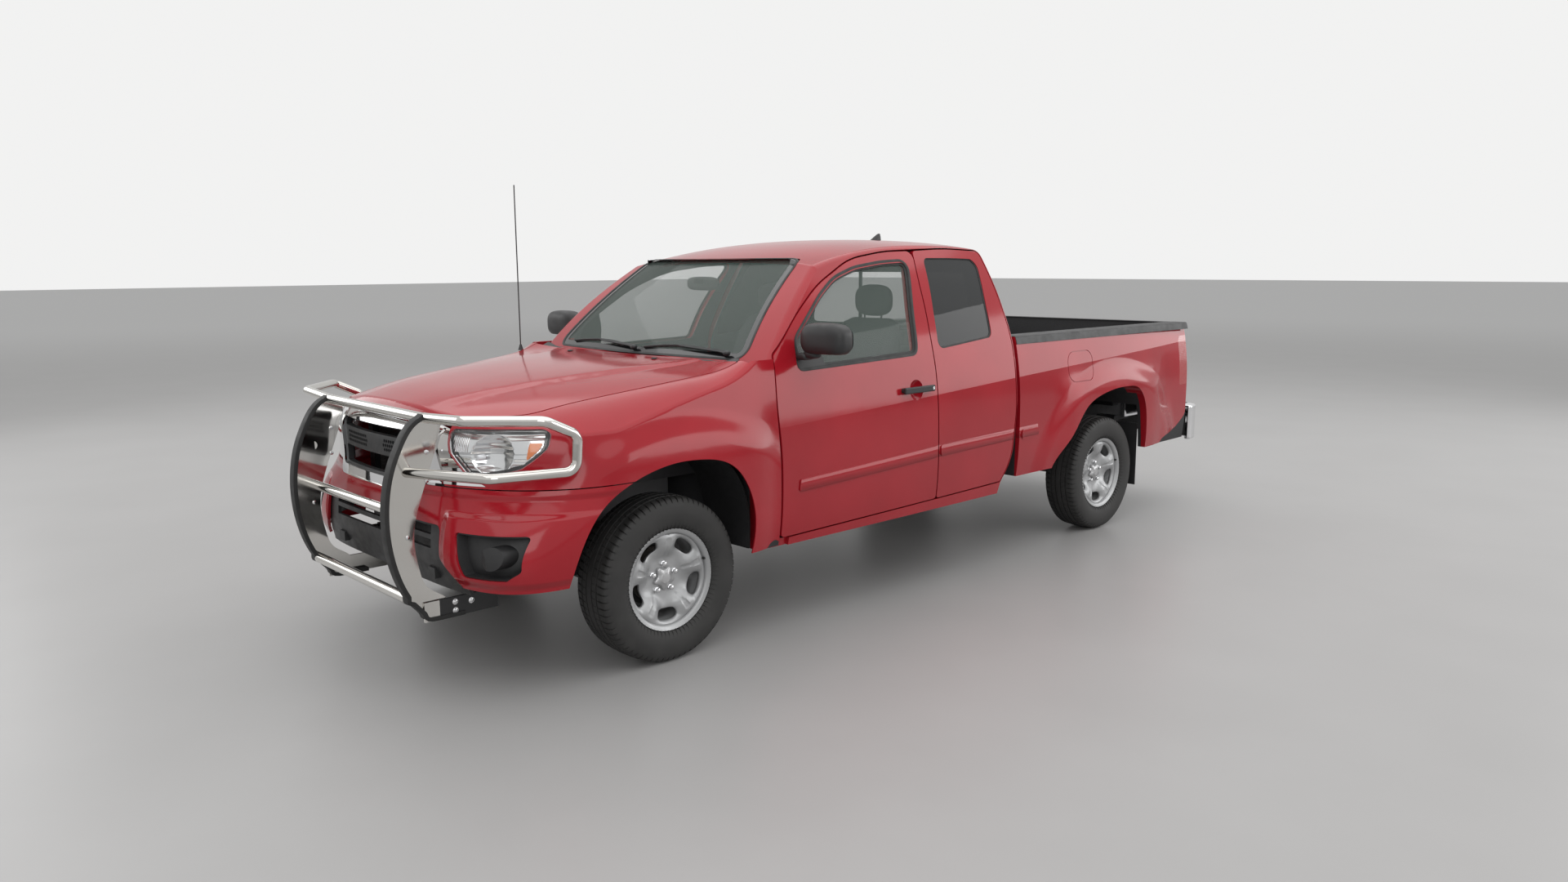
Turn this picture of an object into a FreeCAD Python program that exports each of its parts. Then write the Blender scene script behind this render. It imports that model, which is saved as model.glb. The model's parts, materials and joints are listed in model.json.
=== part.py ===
# Mid-size pickup truck with an extended cab, a two-metre bed and a tubular grille guard.
# Millimetres. +X is the vehicle's left, +Y its rear, +Z up. The curves are worked out from the
# front axle, and every piece is then placed so that the origin lies on the ground midway
# between the guard's front and the rear bumper's back.
import FreeCAD, Part
import math
import os

Vector = FreeCAD.Vector
Rotation = FreeCAD.Rotation
Placement = FreeCAD.Placement

doc = FreeCAD.newDocument("pickup_truck")
sheet = doc.addObject("Spreadsheet::Sheet", "sizes")

driving_sizes = [
    ("guard_reach", 990, "grille guard's front, ahead of the front axle"),
    ("tail_reach", 4410, "rear bumper's back, behind the front axle"),
    ("wheelbase", 3236, "front axle to rear axle"),
    ("track_front", 1470, "between the front tyres' middles"),
    ("track_rear", 1480, "between the rear tyres' middles"),
    ("tyre_radius", 336, "ground to wheel centre"),
    ("tyre_width", 215, "across the sidewalls"),
    ("rim_radius", 207, "rim flange"),
    ("rim_width", 168, "across the rim flanges"),
    ("waist_half_width", 898, "widest place of the body side"),
    ("waist_height", 780, "height of the widest place"),
    ("sill_height", 380, "rocker's lower edge"),
    ("belt_height", 1150, "bottom of the side glass"),
    ("roof_height", 1700, "highest point of the roof"),
    ("cowl_y", 440, "front of the cab's lower body"),
    ("cab_back_y", 2248, "rear face of the cab"),
    ("cab_floor", 500, "top of the cab floor"),
    ("floor_thick", 45, "cab floor and tunnel"),
    ("cab_wall", 90, "body side and pillars"),
    ("roof_thick", 42, "roof with its lining"),
    ("door_thick", 66, "door below the glass"),
    ("frame_thick", 45, "door's window frame"),
    ("shut_gap", 7, "gap round doors, hood and tailgate"),
    ("seal_lap", 22, "cab flange behind the door's edge"),
    ("glass_thick", 5, "all panes"),
    ("door_front_y", 548, "shut line between fender and front door"),
    ("door_split_y", 1597, "shut line between the two doors"),
    ("door_rear_y", 2236, "rear edge of the access door"),
    ("skin_thick", 6, "fender and bed skins"),
    ("bed_front_y", 2275, "front of the bed"),
    ("bed_back_y", 4170, "back of the bed sides"),
    ("bed_rail", 1190, "top of the bed sides"),
    ("bed_floor_height", 735, "top of the bed floor"),
    ("bed_inside", 1440, "between the bed walls"),
    ("wheelhouse_inside", 1054, "between the wheel houses"),
    ("tailgate_thick", 50, "tailgate"),
    ("rail_half_spacing", 405, "chassis rail's middle, from the centre line"),
    ("rail_width", 60, "chassis rail across"),
    ("rail_depth", 130, "chassis rail up and down"),
    ("guard_spacing", 860, "between the guard's two uprights"),
]
for row, (alias, value, note) in enumerate(driving_sizes, start=1):
    sheet.set("A%d" % row, str(value))
    sheet.setAlias("A%d" % row, alias)
    sheet.set("B%d" % row, note)
last_row = len(driving_sizes) + 1
sheet.set("A%d" % last_row, "=(guard_reach - tail_reach) / 2")
sheet.setAlias("A%d" % last_row, "front_axle_y")
sheet.set("B%d" % last_row, "front axle from the part's origin")
doc.recompute()


class Sizes:
    """Reads a driving dimension from the sheet by its name."""

    def __getattr__(self, alias):
        return float(sheet.get(alias))


size = Sizes()
parts = []


def add_piece(name, shape, solids=1):
    """Puts one finished piece into the document at the vehicle's own place."""
    found = sorted(shape.Solids, key=lambda solid: -solid.Volume)
    if len(found) != solids:
        print("%s has %d solids: %s" % (name, len(found), [round(solid.Volume) for solid in found]))
    kept = found[0] if solids == 1 else Part.makeCompound(found[:solids])
    piece = doc.addObject("Part::Feature", name)
    piece.Label = name
    piece.Shape = kept
    piece.Placement = Placement(Vector(0, size.front_axle_y, 0), Rotation()).multiply(kept.Placement)
    parts.append(piece)
    return piece


def spaced(first, last, count):
    """Evenly spaced values from first to last."""
    return [first + (last - first) * index / (count - 1) for index in range(count)]


def smooth_step(value, low, high):
    """0 below low, 1 above high and a smooth rise between."""
    share = min(1.0, max(0.0, (value - low) / (high - low)))
    return share * share * (3 - 2 * share)


def field_face(point_at, first_values, second_values):
    """One smooth face through the points that point_at gives over a grid."""
    surface = Part.BSplineSurface()
    surface.interpolate([[point_at(a, b) for b in second_values] for a in first_values])
    return surface.toShape()


def box(x, y, z):
    """A box from three (low, high) pairs."""
    return Part.makeBox(x[1] - x[0], y[1] - y[0], z[1] - z[0], Vector(x[0], y[0], z[0]))


def mirrored(shape):
    """The same shape on the vehicle's other side."""
    return shape.mirror(Vector(0, 0, 0), Vector(1, 0, 0))


def common(first, *others):
    result = first
    for other in others:
        result = result.common(other)
    return result


def rounded_outline(points, plane="side", at=0.0):
    """A closed wire through corner points (a, b, radius), each corner rounded by its radius.
    In plane "side" a and b are y and z, in "plan" x and y, in "front" x and z."""
    place = {
        "side": lambda a, b: Vector(at, a, b),
        "plan": lambda a, b: Vector(a, b, at),
        "front": lambda a, b: Vector(a, at, b),
    }[plane]
    count = len(points)
    corners = []
    for index in range(count):
        before = place(*points[index - 1][:2])
        here = place(*points[index][:2])
        after = place(*points[(index + 1) % count][:2])
        radius = points[index][2]
        if radius <= 0:
            corners.append((here, None, here))
            continue
        to_before = (before - here).normalize()
        to_after = (after - here).normalize()
        half_angle = to_before.getAngle(to_after) / 2
        reach = radius / math.tan(half_angle)
        bisector = (to_before + to_after).normalize()
        middle = here + bisector * (radius / math.sin(half_angle) - radius)
        corners.append((here + to_before * reach, middle, here + to_after * reach))
    edges = []
    for index in range(count):
        start, middle, end = corners[index]
        if middle is not None:
            edges.append(Part.Arc(start, middle, end).toShape())
        following = corners[(index + 1) % count][0]
        if end.distanceToPoint(following) > 1e-6:
            edges.append(Part.LineSegment(end, following).toShape())
    return Part.Wire(edges)


def prism(wire, direction):
    """A solid swept straight from a closed flat wire."""
    return Part.Face(wire).extrude(direction)


def grown(wire, distance):
    """The wire moved outwards by distance, or inwards if it is negative."""
    return wire.makeOffset2D(distance, 0, False, False, True)


# Body side


def side_half_width(z):
    """Half width of the cab at a height: widest at the waist, tucked in at the sill, and leaning
    in above the belt."""
    if z <= size.waist_height:
        tuck = (size.waist_height - z) / 400.0
        return size.waist_half_width - 30 * tuck ** 3
    belt_drop = 36.0
    if z <= size.belt_height:
        rise = (z - size.waist_height) / (size.belt_height - size.waist_height)
        return size.waist_half_width - belt_drop * rise ** 2.2
    above = z - size.belt_height
    return size.waist_half_width - belt_drop - 0.30 * above - 0.000389 * above ** 2


def cab_side_x(y, z):
    return side_half_width(z) - 12 * ((y - 1300) / 1500.0) ** 2


def roof_middle(y):
    """Height of the roof's middle line: crowned, and falling faster towards the windshield."""
    ahead = max(0.0, 1800 - y) / 900.0
    behind = max(0.0, y - 1800) / 450.0
    return size.roof_height - 100 * ahead ** 2.3 - 18 * behind ** 2.4


def roof_z(x, y):
    return roof_middle(y) - 38 * (abs(x) / 600.0) ** 2.4


def windshield_y(x, z):
    """Front of the windshield: leaning back, bowed across and slightly bowed up."""
    rise = (z - 1165) / 435.0
    centre = 430 + 1.08 * (z - 1165) - 80 * rise * (1 - rise) * 1.0
    return centre + (55 + 75 * max(0.0, rise) ** 3) * (x / 700.0) ** 2


def side_solid(inset, depth):
    """The cab's left side as a slab: from inset inside the skin to depth further in."""
    face = field_face(
        lambda y, z: Vector(cab_side_x(y, z) - inset, y, z), spaced(300, 2400, 6), spaced(340, 1760, 16)
    )
    return face.extrude(Vector(-depth, 0, 0))


def cab_block(side_inset, roof_inset, front_inset, rear_inset, floor, cowl, radius):
    """The cab's outer form, or the same form drawn in on every side."""
    left = side_solid(side_inset, 2000)
    roof = field_face(
        lambda x, y: Vector(x, y, roof_z(x, y) - roof_inset), spaced(-1000, 1000, 9), spaced(300, 2400, 12)
    ).extrude(Vector(0, 0, -1700))
    glass = field_face(
        lambda x, z: Vector(x, windshield_y(x, z) + front_inset, z), spaced(-1000, 1000, 9), spaced(300, 1800, 12)
    ).extrude(Vector(0, 3000, 0))
    limits = box((-950, 950), (cowl, size.cab_back_y - rear_inset), (floor, 1800))
    block = common(limits, left, mirrored(left), roof, glass)
    if radius > 0:
        long_edges = []
        for edge in block.Edges:
            middle = edge.valueAt((edge.FirstParameter + edge.LastParameter) / 2)
            if middle.z > size.belt_height + 120:
                long_edges.append(edge)
        block = block.makeFillet(radius, long_edges)
    return block


cab_radius = 38.0
cab_outer = cab_block(0, 0, 0, 0, size.sill_height, size.cowl_y, cab_radius)

# Shut lines and glass outlines, seen from the side as (y, z, corner radius)

sill_line = 420.0
door_front = size.door_front_y
door_split = size.door_split_y
front_edge = [(door_front + 4, sill_line, 20), (door_front - 2, 760, 1500), (door_front - 24, 1000, 900)]
front_edge += [(door_front - 8, 1190, 60)]
pillar_edge = [(738, 1358, 1200), (924, 1478, 900), (1209, 1594, 700)]
split_edge = [(door_split + 93, 1634, 30), (door_split + 35, 1485, 900), (door_split - 21, 1200, 700)]
split_edge += [(door_split - 15, 800, 2000), (door_split - 5, 437, 15)]
split_gap = size.shut_gap

front_door_outline = rounded_outline(front_edge + pillar_edge + [(1480, 1629, 1500)] + split_edge)
access_front_edge = [(y + split_gap, z, radius) for y, z, radius in reversed(split_edge)]
door_rear = size.door_rear_y
rear_edge = [(door_rear, 1634, 30), (door_rear, 820, 300), (door_rear - 31, 560, 300), (door_rear - 106, 447, 15)]
access_door_outline = rounded_outline(access_front_edge + [(1950, 1645, 2500)] + rear_edge)
both_doors_outline = rounded_outline(
    front_edge + pillar_edge + [(1480, 1629, 1500), (1950, 1645, 2500)] + rear_edge
)

front_glass_outline = rounded_outline(
    [(672, 1129, 15), (690, 1252, 60), (767, 1313, 500), (916, 1426, 600), (1050, 1503, 400), (1215, 1548, 500)]
    + [(1420, 1572, 900), (1612, 1580, 30), (1504, 1352, 900), (1455, 1152, 30)]
)
access_glass_outline = rounded_outline(
    [(1624, 1162, 35), (1660, 1330, 900), (1752, 1600, 45), (1948, 1600, 1500), (2185, 1594, 45)]
    + [(2110, 1370, 900), (2078, 1200, 45)]
)


def through_side(outline, near=500, far=1000):
    """A prism of a side outline through the left side of the body."""
    prism_wire = outline.copy()
    prism_wire.translate(Vector(near, 0, 0))
    return prism(prism_wire, Vector(far - near, 0, 0))


opening_depth = size.door_thick + 12.0
seal_depth = opening_depth

# Cab shell

cabin = cab_block(
    size.cab_wall, size.roof_thick, 60, 45, size.cab_floor, size.cowl_y + 45, 0
)
tunnel_sizes = [(165, 400, 800, 632), (125, 400, 1400, 545)]
tunnel_wall = 20.0
for half_width, front_y, back_y, top_z in tunnel_sizes:
    cabin = cabin.cut(box((-half_width - tunnel_wall, half_width + tunnel_wall),
                          (front_y, back_y + tunnel_wall), (0, top_z + tunnel_wall)))
shell = cab_outer.cut(cabin)
for half_width, front_y, back_y, top_z in tunnel_sizes:
    shell = shell.cut(box((-half_width, half_width), (front_y, back_y), (0, top_z)))
underside = box((-790, 790), (size.cowl_y - 50, size.cab_back_y + 50), (0, size.cab_floor - size.floor_thick))
shell = shell.cut(underside)
opening = through_side(grown(both_doors_outline, size.shut_gap)).cut(side_solid(seal_depth, 2000))
doorway = through_side(grown(both_doors_outline, -size.seal_lap)).cut(side_solid(size.cab_wall + 1, 2000))
fender_lap = through_side(
    rounded_outline([(300, 300, 0), (300, 1180, 0), (600, 1180, 0), (600, 300, 0)])
).cut(side_solid(size.skin_thick + 9, 2000))
rear_corner = through_side(
    rounded_outline(
        [(2400, 300, 0), (2400, 860, 0), (2248, 860, 0), (2216, 560, 300), (2136, 441, 0), (2110, 300, 0)]),
    780, 1000,
)
for cutter in (opening, doorway, fender_lap, rear_corner):
    shell = shell.cut(cutter).cut(mirrored(cutter))
seat_gap = 0.5
hinge_heights = [(560, 620), (930, 990)]
brackets = [box((832, 872), (door_front - 16, door_front + 12), heights) for heights in hinge_heights]
brackets += [box((832, 868), (door_rear - 14, size.cab_back_y), heights) for heights in [(860, 910), (1040, 1090)]]
front_hinge_seat = through_side(grown(front_door_outline, seat_gap))
access_hinge_seat = through_side(grown(access_door_outline, seat_gap))
for bracket in brackets:
    bracket = bracket.cut(front_hinge_seat).cut(access_hinge_seat)
    shell = shell.fuse(bracket).fuse(mirrored(bracket))


def windshield_slab(near, far):
    """The windshield's own curve as a slab from near to far behind its face."""
    face = field_face(
        lambda x, z: Vector(x, windshield_y(x, z) + near, z), spaced(-1000, 1000, 9), spaced(900, 1800, 10)
    )
    return face.extrude(Vector(0, far - near, 0))


def symmetric(points):
    """The given right-hand corner points (x, z, radius) and their mirror images."""
    return points + [(-x, z, radius) for x, z, radius in reversed(points)]


windshield_outline = rounded_outline(
    symmetric([(716, 1172, 40), (560, 1598, 60)]), "front"
)
rear_glass_outline = rounded_outline(
    symmetric([(640, 1195, 60), (560, 1560, 60)]), "front"
)
windshield_hole = prism(windshield_outline, Vector(0, 1500, 0)).common(windshield_slab(-200, 120))
rear_hole_wire = rear_glass_outline.copy()
rear_hole_wire.translate(Vector(0, size.cab_back_y - 100, 0))
shell = shell.cut(windshield_hole).cut(prism(rear_hole_wire, Vector(0, 200, 0)))
add_piece("cab_shell", shell)

pane = prism(grown(windshield_outline, -0.3), Vector(0, 1500, 0))
pane = pane.common(windshield_slab(4, 4 + 1.4 * size.glass_thick))
add_piece("windshield", pane)
rear_pane = grown(rear_glass_outline, -0.3)
rear_pane.translate(Vector(0, size.cab_back_y - 20, 0))
add_piece("rear_window", prism(rear_pane, Vector(0, size.glass_thick, 0)))

# Doors

hem_thick = 3.0
front_door_setback = 14.0
access_door_setback = 28.0


def split_band(ahead, behind):
    """The stretch of the body side from ahead of the split line to behind it, below the hem."""
    front = [(y - ahead, z + (120 if index == 0 else -120 if index == 4 else 0), 0)
             for index, (y, z, radius) in enumerate(split_edge)]
    back = [(y + behind, z, 0) for y, z, radius in reversed(front)]
    back = [(y + ahead, z, 0) for y, z, radius in back]
    return through_side(rounded_outline(front + back)).common(side_solid(hem_thick, 400))


def door_solid(outline, glass_outline, band):
    """A door as thick as the real one, thinner round its glass, with the window cut."""
    door = through_side(outline).common(cab_outer).cut(side_solid(size.door_thick, 2000))
    frame_inside = side_solid(size.frame_thick, 2000).common(
        box((0, 1000), (300, 2400), (size.belt_height - 40, 1800))
    )
    door = door.cut(frame_inside)
    door = door.cut(through_side(glass_outline)).cut(band)
    return door


front_moulding = rounded_outline(
    [(door_front + 92, 610, 12), (door_split - 26, 645, 12), (door_split - 29, 701, 12)]
    + [(door_front + 98, 664, 12)])
access_moulding = rounded_outline(
    [(door_split + 7, 646, 12), (door_rear - 36, 668, 12), (door_rear - 30, 704, 12), (door_split + 5, 702, 12)])
bed_moulding = rounded_outline([(2296, 651, 12), (2448, 662, 12), (2448, 705, 12), (2296, 703, 12)])
moulding_proud = 6.0
handle_y = door_split - 172
handle_z = 988.0
handle_cup = Part.makeSphere(62, Vector(cab_side_x(handle_y, handle_z) + 38, handle_y, handle_z))


def with_moulding(door, outline):
    pad = through_side(outline).common(side_solid(-moulding_proud, moulding_proud + 8))
    return door.fuse(pad)


front_door = door_solid(front_door_outline, front_glass_outline, split_band(front_door_setback, 60))
front_door = with_moulding(front_door, front_moulding).cut(handle_cup)
access_door = door_solid(
    access_door_outline, access_glass_outline, split_band(60, access_door_setback + split_gap)
)
access_door = with_moulding(access_door, access_moulding)
handle_x = cab_side_x(handle_y, handle_z)
handle = box((handle_x + 14, handle_x + 30), (handle_y - 112, handle_y + 108), (handle_z - 15, handle_z + 15))
handle = handle.makeFillet(6, handle.Edges)
for end_y in (handle_y - 98, handle_y + 92):
    foot = Part.makeCylinder(12, 26, Vector(handle_x - 4, end_y, handle_z), Vector(1, 0, 0))
    handle = handle.fuse(foot)
handle = handle.cut(side_solid(-seat_gap, 400))
front_glass = through_side(grown(front_glass_outline, -0.3)).common(side_solid(14, size.glass_thick))
access_glass = through_side(grown(access_glass_outline, -0.3)).common(side_solid(8, size.glass_thick))
for side, turn in (("left", lambda shape: shape), ("right", mirrored)):
    add_piece("door_front_" + side, turn(front_door))
    add_piece("glass_front_" + side, turn(front_glass))
    add_piece("door_handle_" + side, turn(handle))
    add_piece("access_door_" + side, turn(access_door))
    add_piece("glass_access_" + side, turn(access_glass))


# Front end: bumper, fenders and hood share one outer form


def nose_exponent(z):
    """Squarer in plan at the bumper's lower edge, rounder at the lamps."""
    return 2.3 + 2.7 * (1 - smooth_step(z, 480, 800))


def fender_flare(y, z):
    """How far the fender swells over the wheel."""
    along = 1 - smooth_step(abs(y), 330, 530)
    return 20 * along * (1 - smooth_step(z, 800, 1010))


def front_half_width(y, z):
    lean = side_half_width(z) - 12 * ((y - 1300) / 1500.0) ** 2
    return lean + fender_flare(y, z)


nose_back = -200.0
nose_depth = 629.0


def nose_setback(z):
    """The face leans back above the grille and tucks in under the bumper."""
    return 0.6 * max(0.0, z - 930) + 0.25 * max(0.0, 520 - z)


def plan_points(z):
    """The left half of the front end's plan curve at a height, from the door to the middle."""
    points = []
    for y in (560, 440, 330, 220, 110, 0, -110):
        points.append((front_half_width(y, z), float(y)))
    wide = front_half_width(nose_back, z)
    power = nose_exponent(z)
    depth = nose_depth - nose_setback(z)
    for step in range(13):
        turn = math.radians(90.0 * step / 12)
        points.append((
            wide * math.cos(turn) ** (2 / power),
            nose_back - depth * math.sin(turn) ** (2 / power),
        ))
    return points


def hood_line(y):
    """Half width and height of the shut line between hood and fender."""
    half_width = 660 + 0.133 * (y + 510)
    height = 1111 + 0.119 * y - 0.00025 * max(0.0, -300 - y) ** 2 + 0.0011 * max(0.0, y - 250) ** 2
    return half_width, height


def hood_z(x, y):
    """Top of the hood and the fenders' shoulders."""
    middle = 1165 - 105 * ((400 - y) / 1150.0) ** 2
    half_width, edge = hood_line(y)
    across = abs(x)
    crease = 330 + 0.20 * (y + 600)
    raised = 9 * (1 - smooth_step(across, crease - 35, crease + 35)) * smooth_step(y, -780, -560)
    if across <= half_width:
        return middle + raised + (edge - middle) * (across / half_width) ** 2.6 - 4
    slope = (edge - middle) * 2.6 / half_width
    outboard = (across - half_width) / (900 - half_width)
    return edge + slope * (across - half_width) - (70 - 0.054 * y) * outboard ** 2.2 - 4


def front_wall_face():
    """The front end's upright wall as one smooth face, round the nose from door to door."""
    grid = []
    for z in (300, 380, 450, 520, 590, 660, 730, 800, 870, 940, 1010, 1080, 1150, 1220, 1300):
        half = plan_points(z)
        left = [Vector(x, y, z) for x, y in half]
        right = [Vector(-x, y, z) for x, y in reversed(half[:-1])]
        grid.append(left + right)
    surface = Part.BSplineSurface()
    surface.interpolate(grid)
    return surface.toShape()


def closed_behind(wall):
    """The wall made solid by a flat floor, a flat lid and a flat back."""
    ends = {}
    for edge in wall.Edges:
        start, end = [vertex.Point for vertex in edge.Vertexes]
        if abs(start.z - end.z) < 1:
            ends["low" if start.z < 700 else "high"] = edge
        else:
            ends["left" if start.x > 0 else "right"] = edge
    flats = []
    for level in ("low", "high"):
        start, end = [vertex.Point for vertex in ends[level].Vertexes]
        flats.append(Part.Face(Part.Wire([ends[level], Part.LineSegment(start, end).toShape()])))
    left = sorted([vertex.Point for vertex in ends["left"].Vertexes], key=lambda point: point.z)
    right = sorted([vertex.Point for vertex in ends["right"].Vertexes], key=lambda point: point.z)
    lid = Part.LineSegment(left[1], right[1]).toShape()
    floor = Part.LineSegment(right[0], left[0]).toShape()
    flats.append(Part.Face(Part.Wire(Part.__sortEdges__([ends["left"], lid, ends["right"], floor]))))
    shell = Part.makeShell([wall] + flats)
    shell.sewShape()
    return Part.makeSolid(shell)


front_face = front_wall_face()
front_top = field_face(
    lambda x, y: Vector(x, y, hood_z(x, y)), spaced(-1000, 1000, 57), spaced(-1000, 700, 20)
).extrude(Vector(0, 0, -900))
front_outer = closed_behind(front_face).common(front_top)
shoulder = []
for edge in front_outer.Edges:
    middle = edge.valueAt((edge.FirstParameter + edge.LastParameter) / 2)
    if middle.z > 900 and middle.y < 500:
        shoulder.append(edge)
front_outer = front_outer.makeFillet(30, shoulder)


def front_skin(depth, limits):
    """The front end's skin, depth thick, over the part of it inside the limits."""
    block = front_outer.common(limits)
    curved = [face for face in block.Faces if not isinstance(face.Surface, Part.Plane)]
    return Part.makeShell(curved).makeOffsetShape(-depth, 0.01, False, False, 0, 0, True)


# Front end panels

hood_thick = 20.0
hood_back_y = size.cowl_y - 42
hood_half_back = hood_line(hood_back_y)[0]
hood_outline = rounded_outline(
    [(hood_half_back, hood_back_y, 12), (hood_line(-510)[0], -510, 200), (545, -655, 60), (512, -900, 0)]
    + [(-512, -900, 0), (-545, -655, 60), (-hood_line(-510)[0], -510, 200), (-hood_half_back, hood_back_y, 12)],
    "plan", 900,
)
hood_front_z = 1006.0
hood = front_skin(hood_thick, box((-820, 820), (-1000, 440), (980, 1300)))
hood = hood.common(prism(hood_outline, Vector(0, 0, 500)))
hood = hood.common(box((-1000, 1000), (-1000, 1000), (hood_front_z, 1400)))
add_piece("hood", hood)

wheel_arch_points = [(-535, 300), (-500, 455), (-442, 598), (-371, 690), (-273, 757), (-145, 804), (-20, 824)]
wheel_arch_points += [(100, 821), (188, 806), (262, 770), (340, 672), (383, 525), (376, 380), (360, 300)]


def arch_prism(points, centre_y, near, far):
    """The wheel opening through the left side, from a smooth curve over its points."""
    curve = Part.BSplineCurve()
    curve.interpolate([Vector(near, centre_y + y, z) for y, z in points])
    edge = curve.toShape()
    closing = Part.LineSegment(edge.Vertexes[-1].Point, edge.Vertexes[0].Point).toShape()
    return prism(Part.Wire([edge, closing]), Vector(far - near, 0, 0))


front_arch = arch_prism(wheel_arch_points, 0, 500, 1000)
bumper_split_z = 778.0
lamp_side = rounded_outline(
    [(-1000, 992, 0), (-500, 992, 20), (-524, 925, 60), (-605, 850, 60), (-690, 822, 30), (-1000, 822, 0)]
)
lamp_front = rounded_outline(
    [(470, 986, 20), (960, 1000, 0), (960, 790, 0), (640, 790, 40), (560, 826, 30), (496, 900, 20)], "front", -1000
)
left_wall = front_face.common(box((0, 1000), (-1000, 545), (386, 1200)))
lamp_region = prism(lamp_front, Vector(0, 1000, 0)).common(through_side(lamp_side, 300, 1000))
lamp = left_wall.extrude(Vector(-50, 50, 0)).common(lamp_region)
lamp_hole = prism(grown(lamp_front, 0.4), Vector(0, 1000, 0)).common(
    through_side(grown(lamp_side, 0.4), 300, 1000))

grille_outline = rounded_outline(symmetric([(415, 999, 25), (360, 730, 40)][::-1]), "front", -1000)
grille_hole = prism(grown(grille_outline, 0.4), Vector(0, 500, 0))

flange_low = 985.0
hood_gap_wire = grown(hood_outline, size.shut_gap)
hood_gap = prism(hood_gap_wire, Vector(0, 0, 500))
fender_flange = prism(grown(hood_outline, size.shut_gap + 8), Vector(0, 0, 500)).cut(hood_gap).common(
    box((560, 1000), (-480, 380), (flange_low, 1400))).common(front_outer)
door_cut = through_side(grown(front_door_outline, size.shut_gap))
nose_trim_outline = rounded_outline(
    [(416, 998, 0), (468, 985, 0), (493, 900, 20), (555, 826, 30), (636, 786, 0), (372, 784, 0)], "front", -1000
)
trim_cut = prism(grown(nose_trim_outline, 0.4), Vector(0, 500, 0))
fender = front_skin(size.skin_thick, box((0, 1000), (-1000, 545), (sill_line - 34, 1183))).fuse(fender_flange)
fender = fender.cut(hood_gap.common(
    box((-1000, 1000), (-1000, 1000), (hood_front_z - size.shut_gap, 1400))))
fender = fender.cut(box((0, 1000), (-1000, -150), (0, bumper_split_z))).cut(front_arch).cut(lamp_hole)
fender = fender.cut(grille_hole).cut(door_cut).cut(box((0, 470), (-1000, 0), (0, 1400)))
fender = fender.cut(trim_cut)
fender = fender.cut(box((0, 840), (size.cowl_y - 36, 700), (0, 1400)))
for side, turn in (("left", lambda shape: shape), ("right", mirrored)):
    add_piece("fender_" + side, turn(fender))
    add_piece("headlamp_" + side, turn(lamp))

bumper_limits = box((0, 1000), (-1000, -150), (sill_line, bumper_split_z - 4))
air_opening = rounded_outline(
    symmetric([(640, 300, 0), (600, 425, 20), (508, 520, 40), (500, 640, 25)][::-1]), "front", -1000
)
fog_opening = rounded_outline(
    [(585, 628, 12), (842, 628, 15), (842, 505, 25), (800, 470, 20), (630, 470, 15)], "front", -1000
)
bumper = front_skin(12, bumper_limits).common(bumper_limits)
bumper = bumper.cut(front_arch).cut(grille_hole).cut(lamp_hole)
bumper = bumper.cut(prism(grown(air_opening, 0.4), Vector(0, 700, 0)))
bumper = bumper.cut(prism(grown(fog_opening, 0.4), Vector(0, 700, 0)))
bumper = bumper.fuse(mirrored(bumper))
add_piece("front_bumper", bumper)

left_nose = front_face.common(box((0, 1000), (-1000, -150), (386, 1200)))
fog_block = prism(fog_opening, Vector(0, 900, 0))
fog_back = left_nose.copy()
fog_back.translate(Vector(-6, 6, 0))
fog_pocket = fog_back.extrude(Vector(-44, 44, 0)).common(fog_block)
fog_hollow = left_nose.copy()
fog_hollow.translate(Vector(-1, 1, 0))
fog_hollow = fog_hollow.extrude(Vector(-36, 36, 0)).common(prism(grown(fog_opening, -6), Vector(0, 900, 0)))
fog_lamp = Part.makeCylinder(42, 120, Vector(748, -760, 548), Vector(0, 1, 0)).common(fog_pocket)
fog_pocket = fog_pocket.cut(fog_hollow).fuse(fog_lamp)

dam_face = front_face.common(box((-700, 700), (-1000, -400), (386, 700)))
dam_face.translate(Vector(0, 16, 0))
air_dam = dam_face.extrude(Vector(0, 14, 0)).common(prism(air_opening, Vector(0, 700, 0)))
air_dam = air_dam.common(box((-700, 700), (-1000, 0), (sill_line - 30, 660)))
for z in (560, 612):
    air_dam = air_dam.cut(box((-420, 420), (-1000, -600), (z - 19, z + 15)))
dam_post = box((381, 433), (-806, -640.3), (425, 465))
air_dam = air_dam.fuse(dam_post).fuse(mirrored(dam_post))
add_piece("bumper_inserts", Part.makeCompound([air_dam, fog_pocket, mirrored(fog_pocket)]), 3)

nose_face = front_face.common(box((-450, 450), (-1000, -500), (650, 1050)))
grille_body = nose_face.extrude(Vector(0, 45, 0)).common(prism(grille_outline, Vector(0, 500, 0)))
grille_opening = rounded_outline(symmetric([(374, 965, 25), (332, 772, 30)][::-1]), "front", -1000)
grille_frame = grille_body.cut(prism(grille_opening, Vector(0, 500, 0)))
add_piece("grille_frame", grille_frame)
grille_back = front_face.common(box((-450, 450), (-1000, -500), (650, 1050)))
grille_back.translate(Vector(0, 14, 0))
grille = grille_back.extrude(Vector(0, 24, 0)).common(
    prism(grown(grille_opening, -seat_gap), Vector(0, 500, 0)))
mesh_rows = [(928, 958), (864, 916), (782, 850)]
grille_holes = []
for low_z, high_z in (mesh_rows[0], mesh_rows[2]):
    high_x, low_x = (332 + (z - 772) * 42 / 193 - 12 for z in (high_z, low_z))
    row_outline = rounded_outline(symmetric([(high_x, high_z, 10), (low_x, low_z, 10)][::-1]), "front", -1000)
    grille_holes.append(prism(row_outline, Vector(0, 500, 0)))
cell = 17.0
row_height = (mesh_rows[1][1] - mesh_rows[1][0]) / 3
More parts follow.
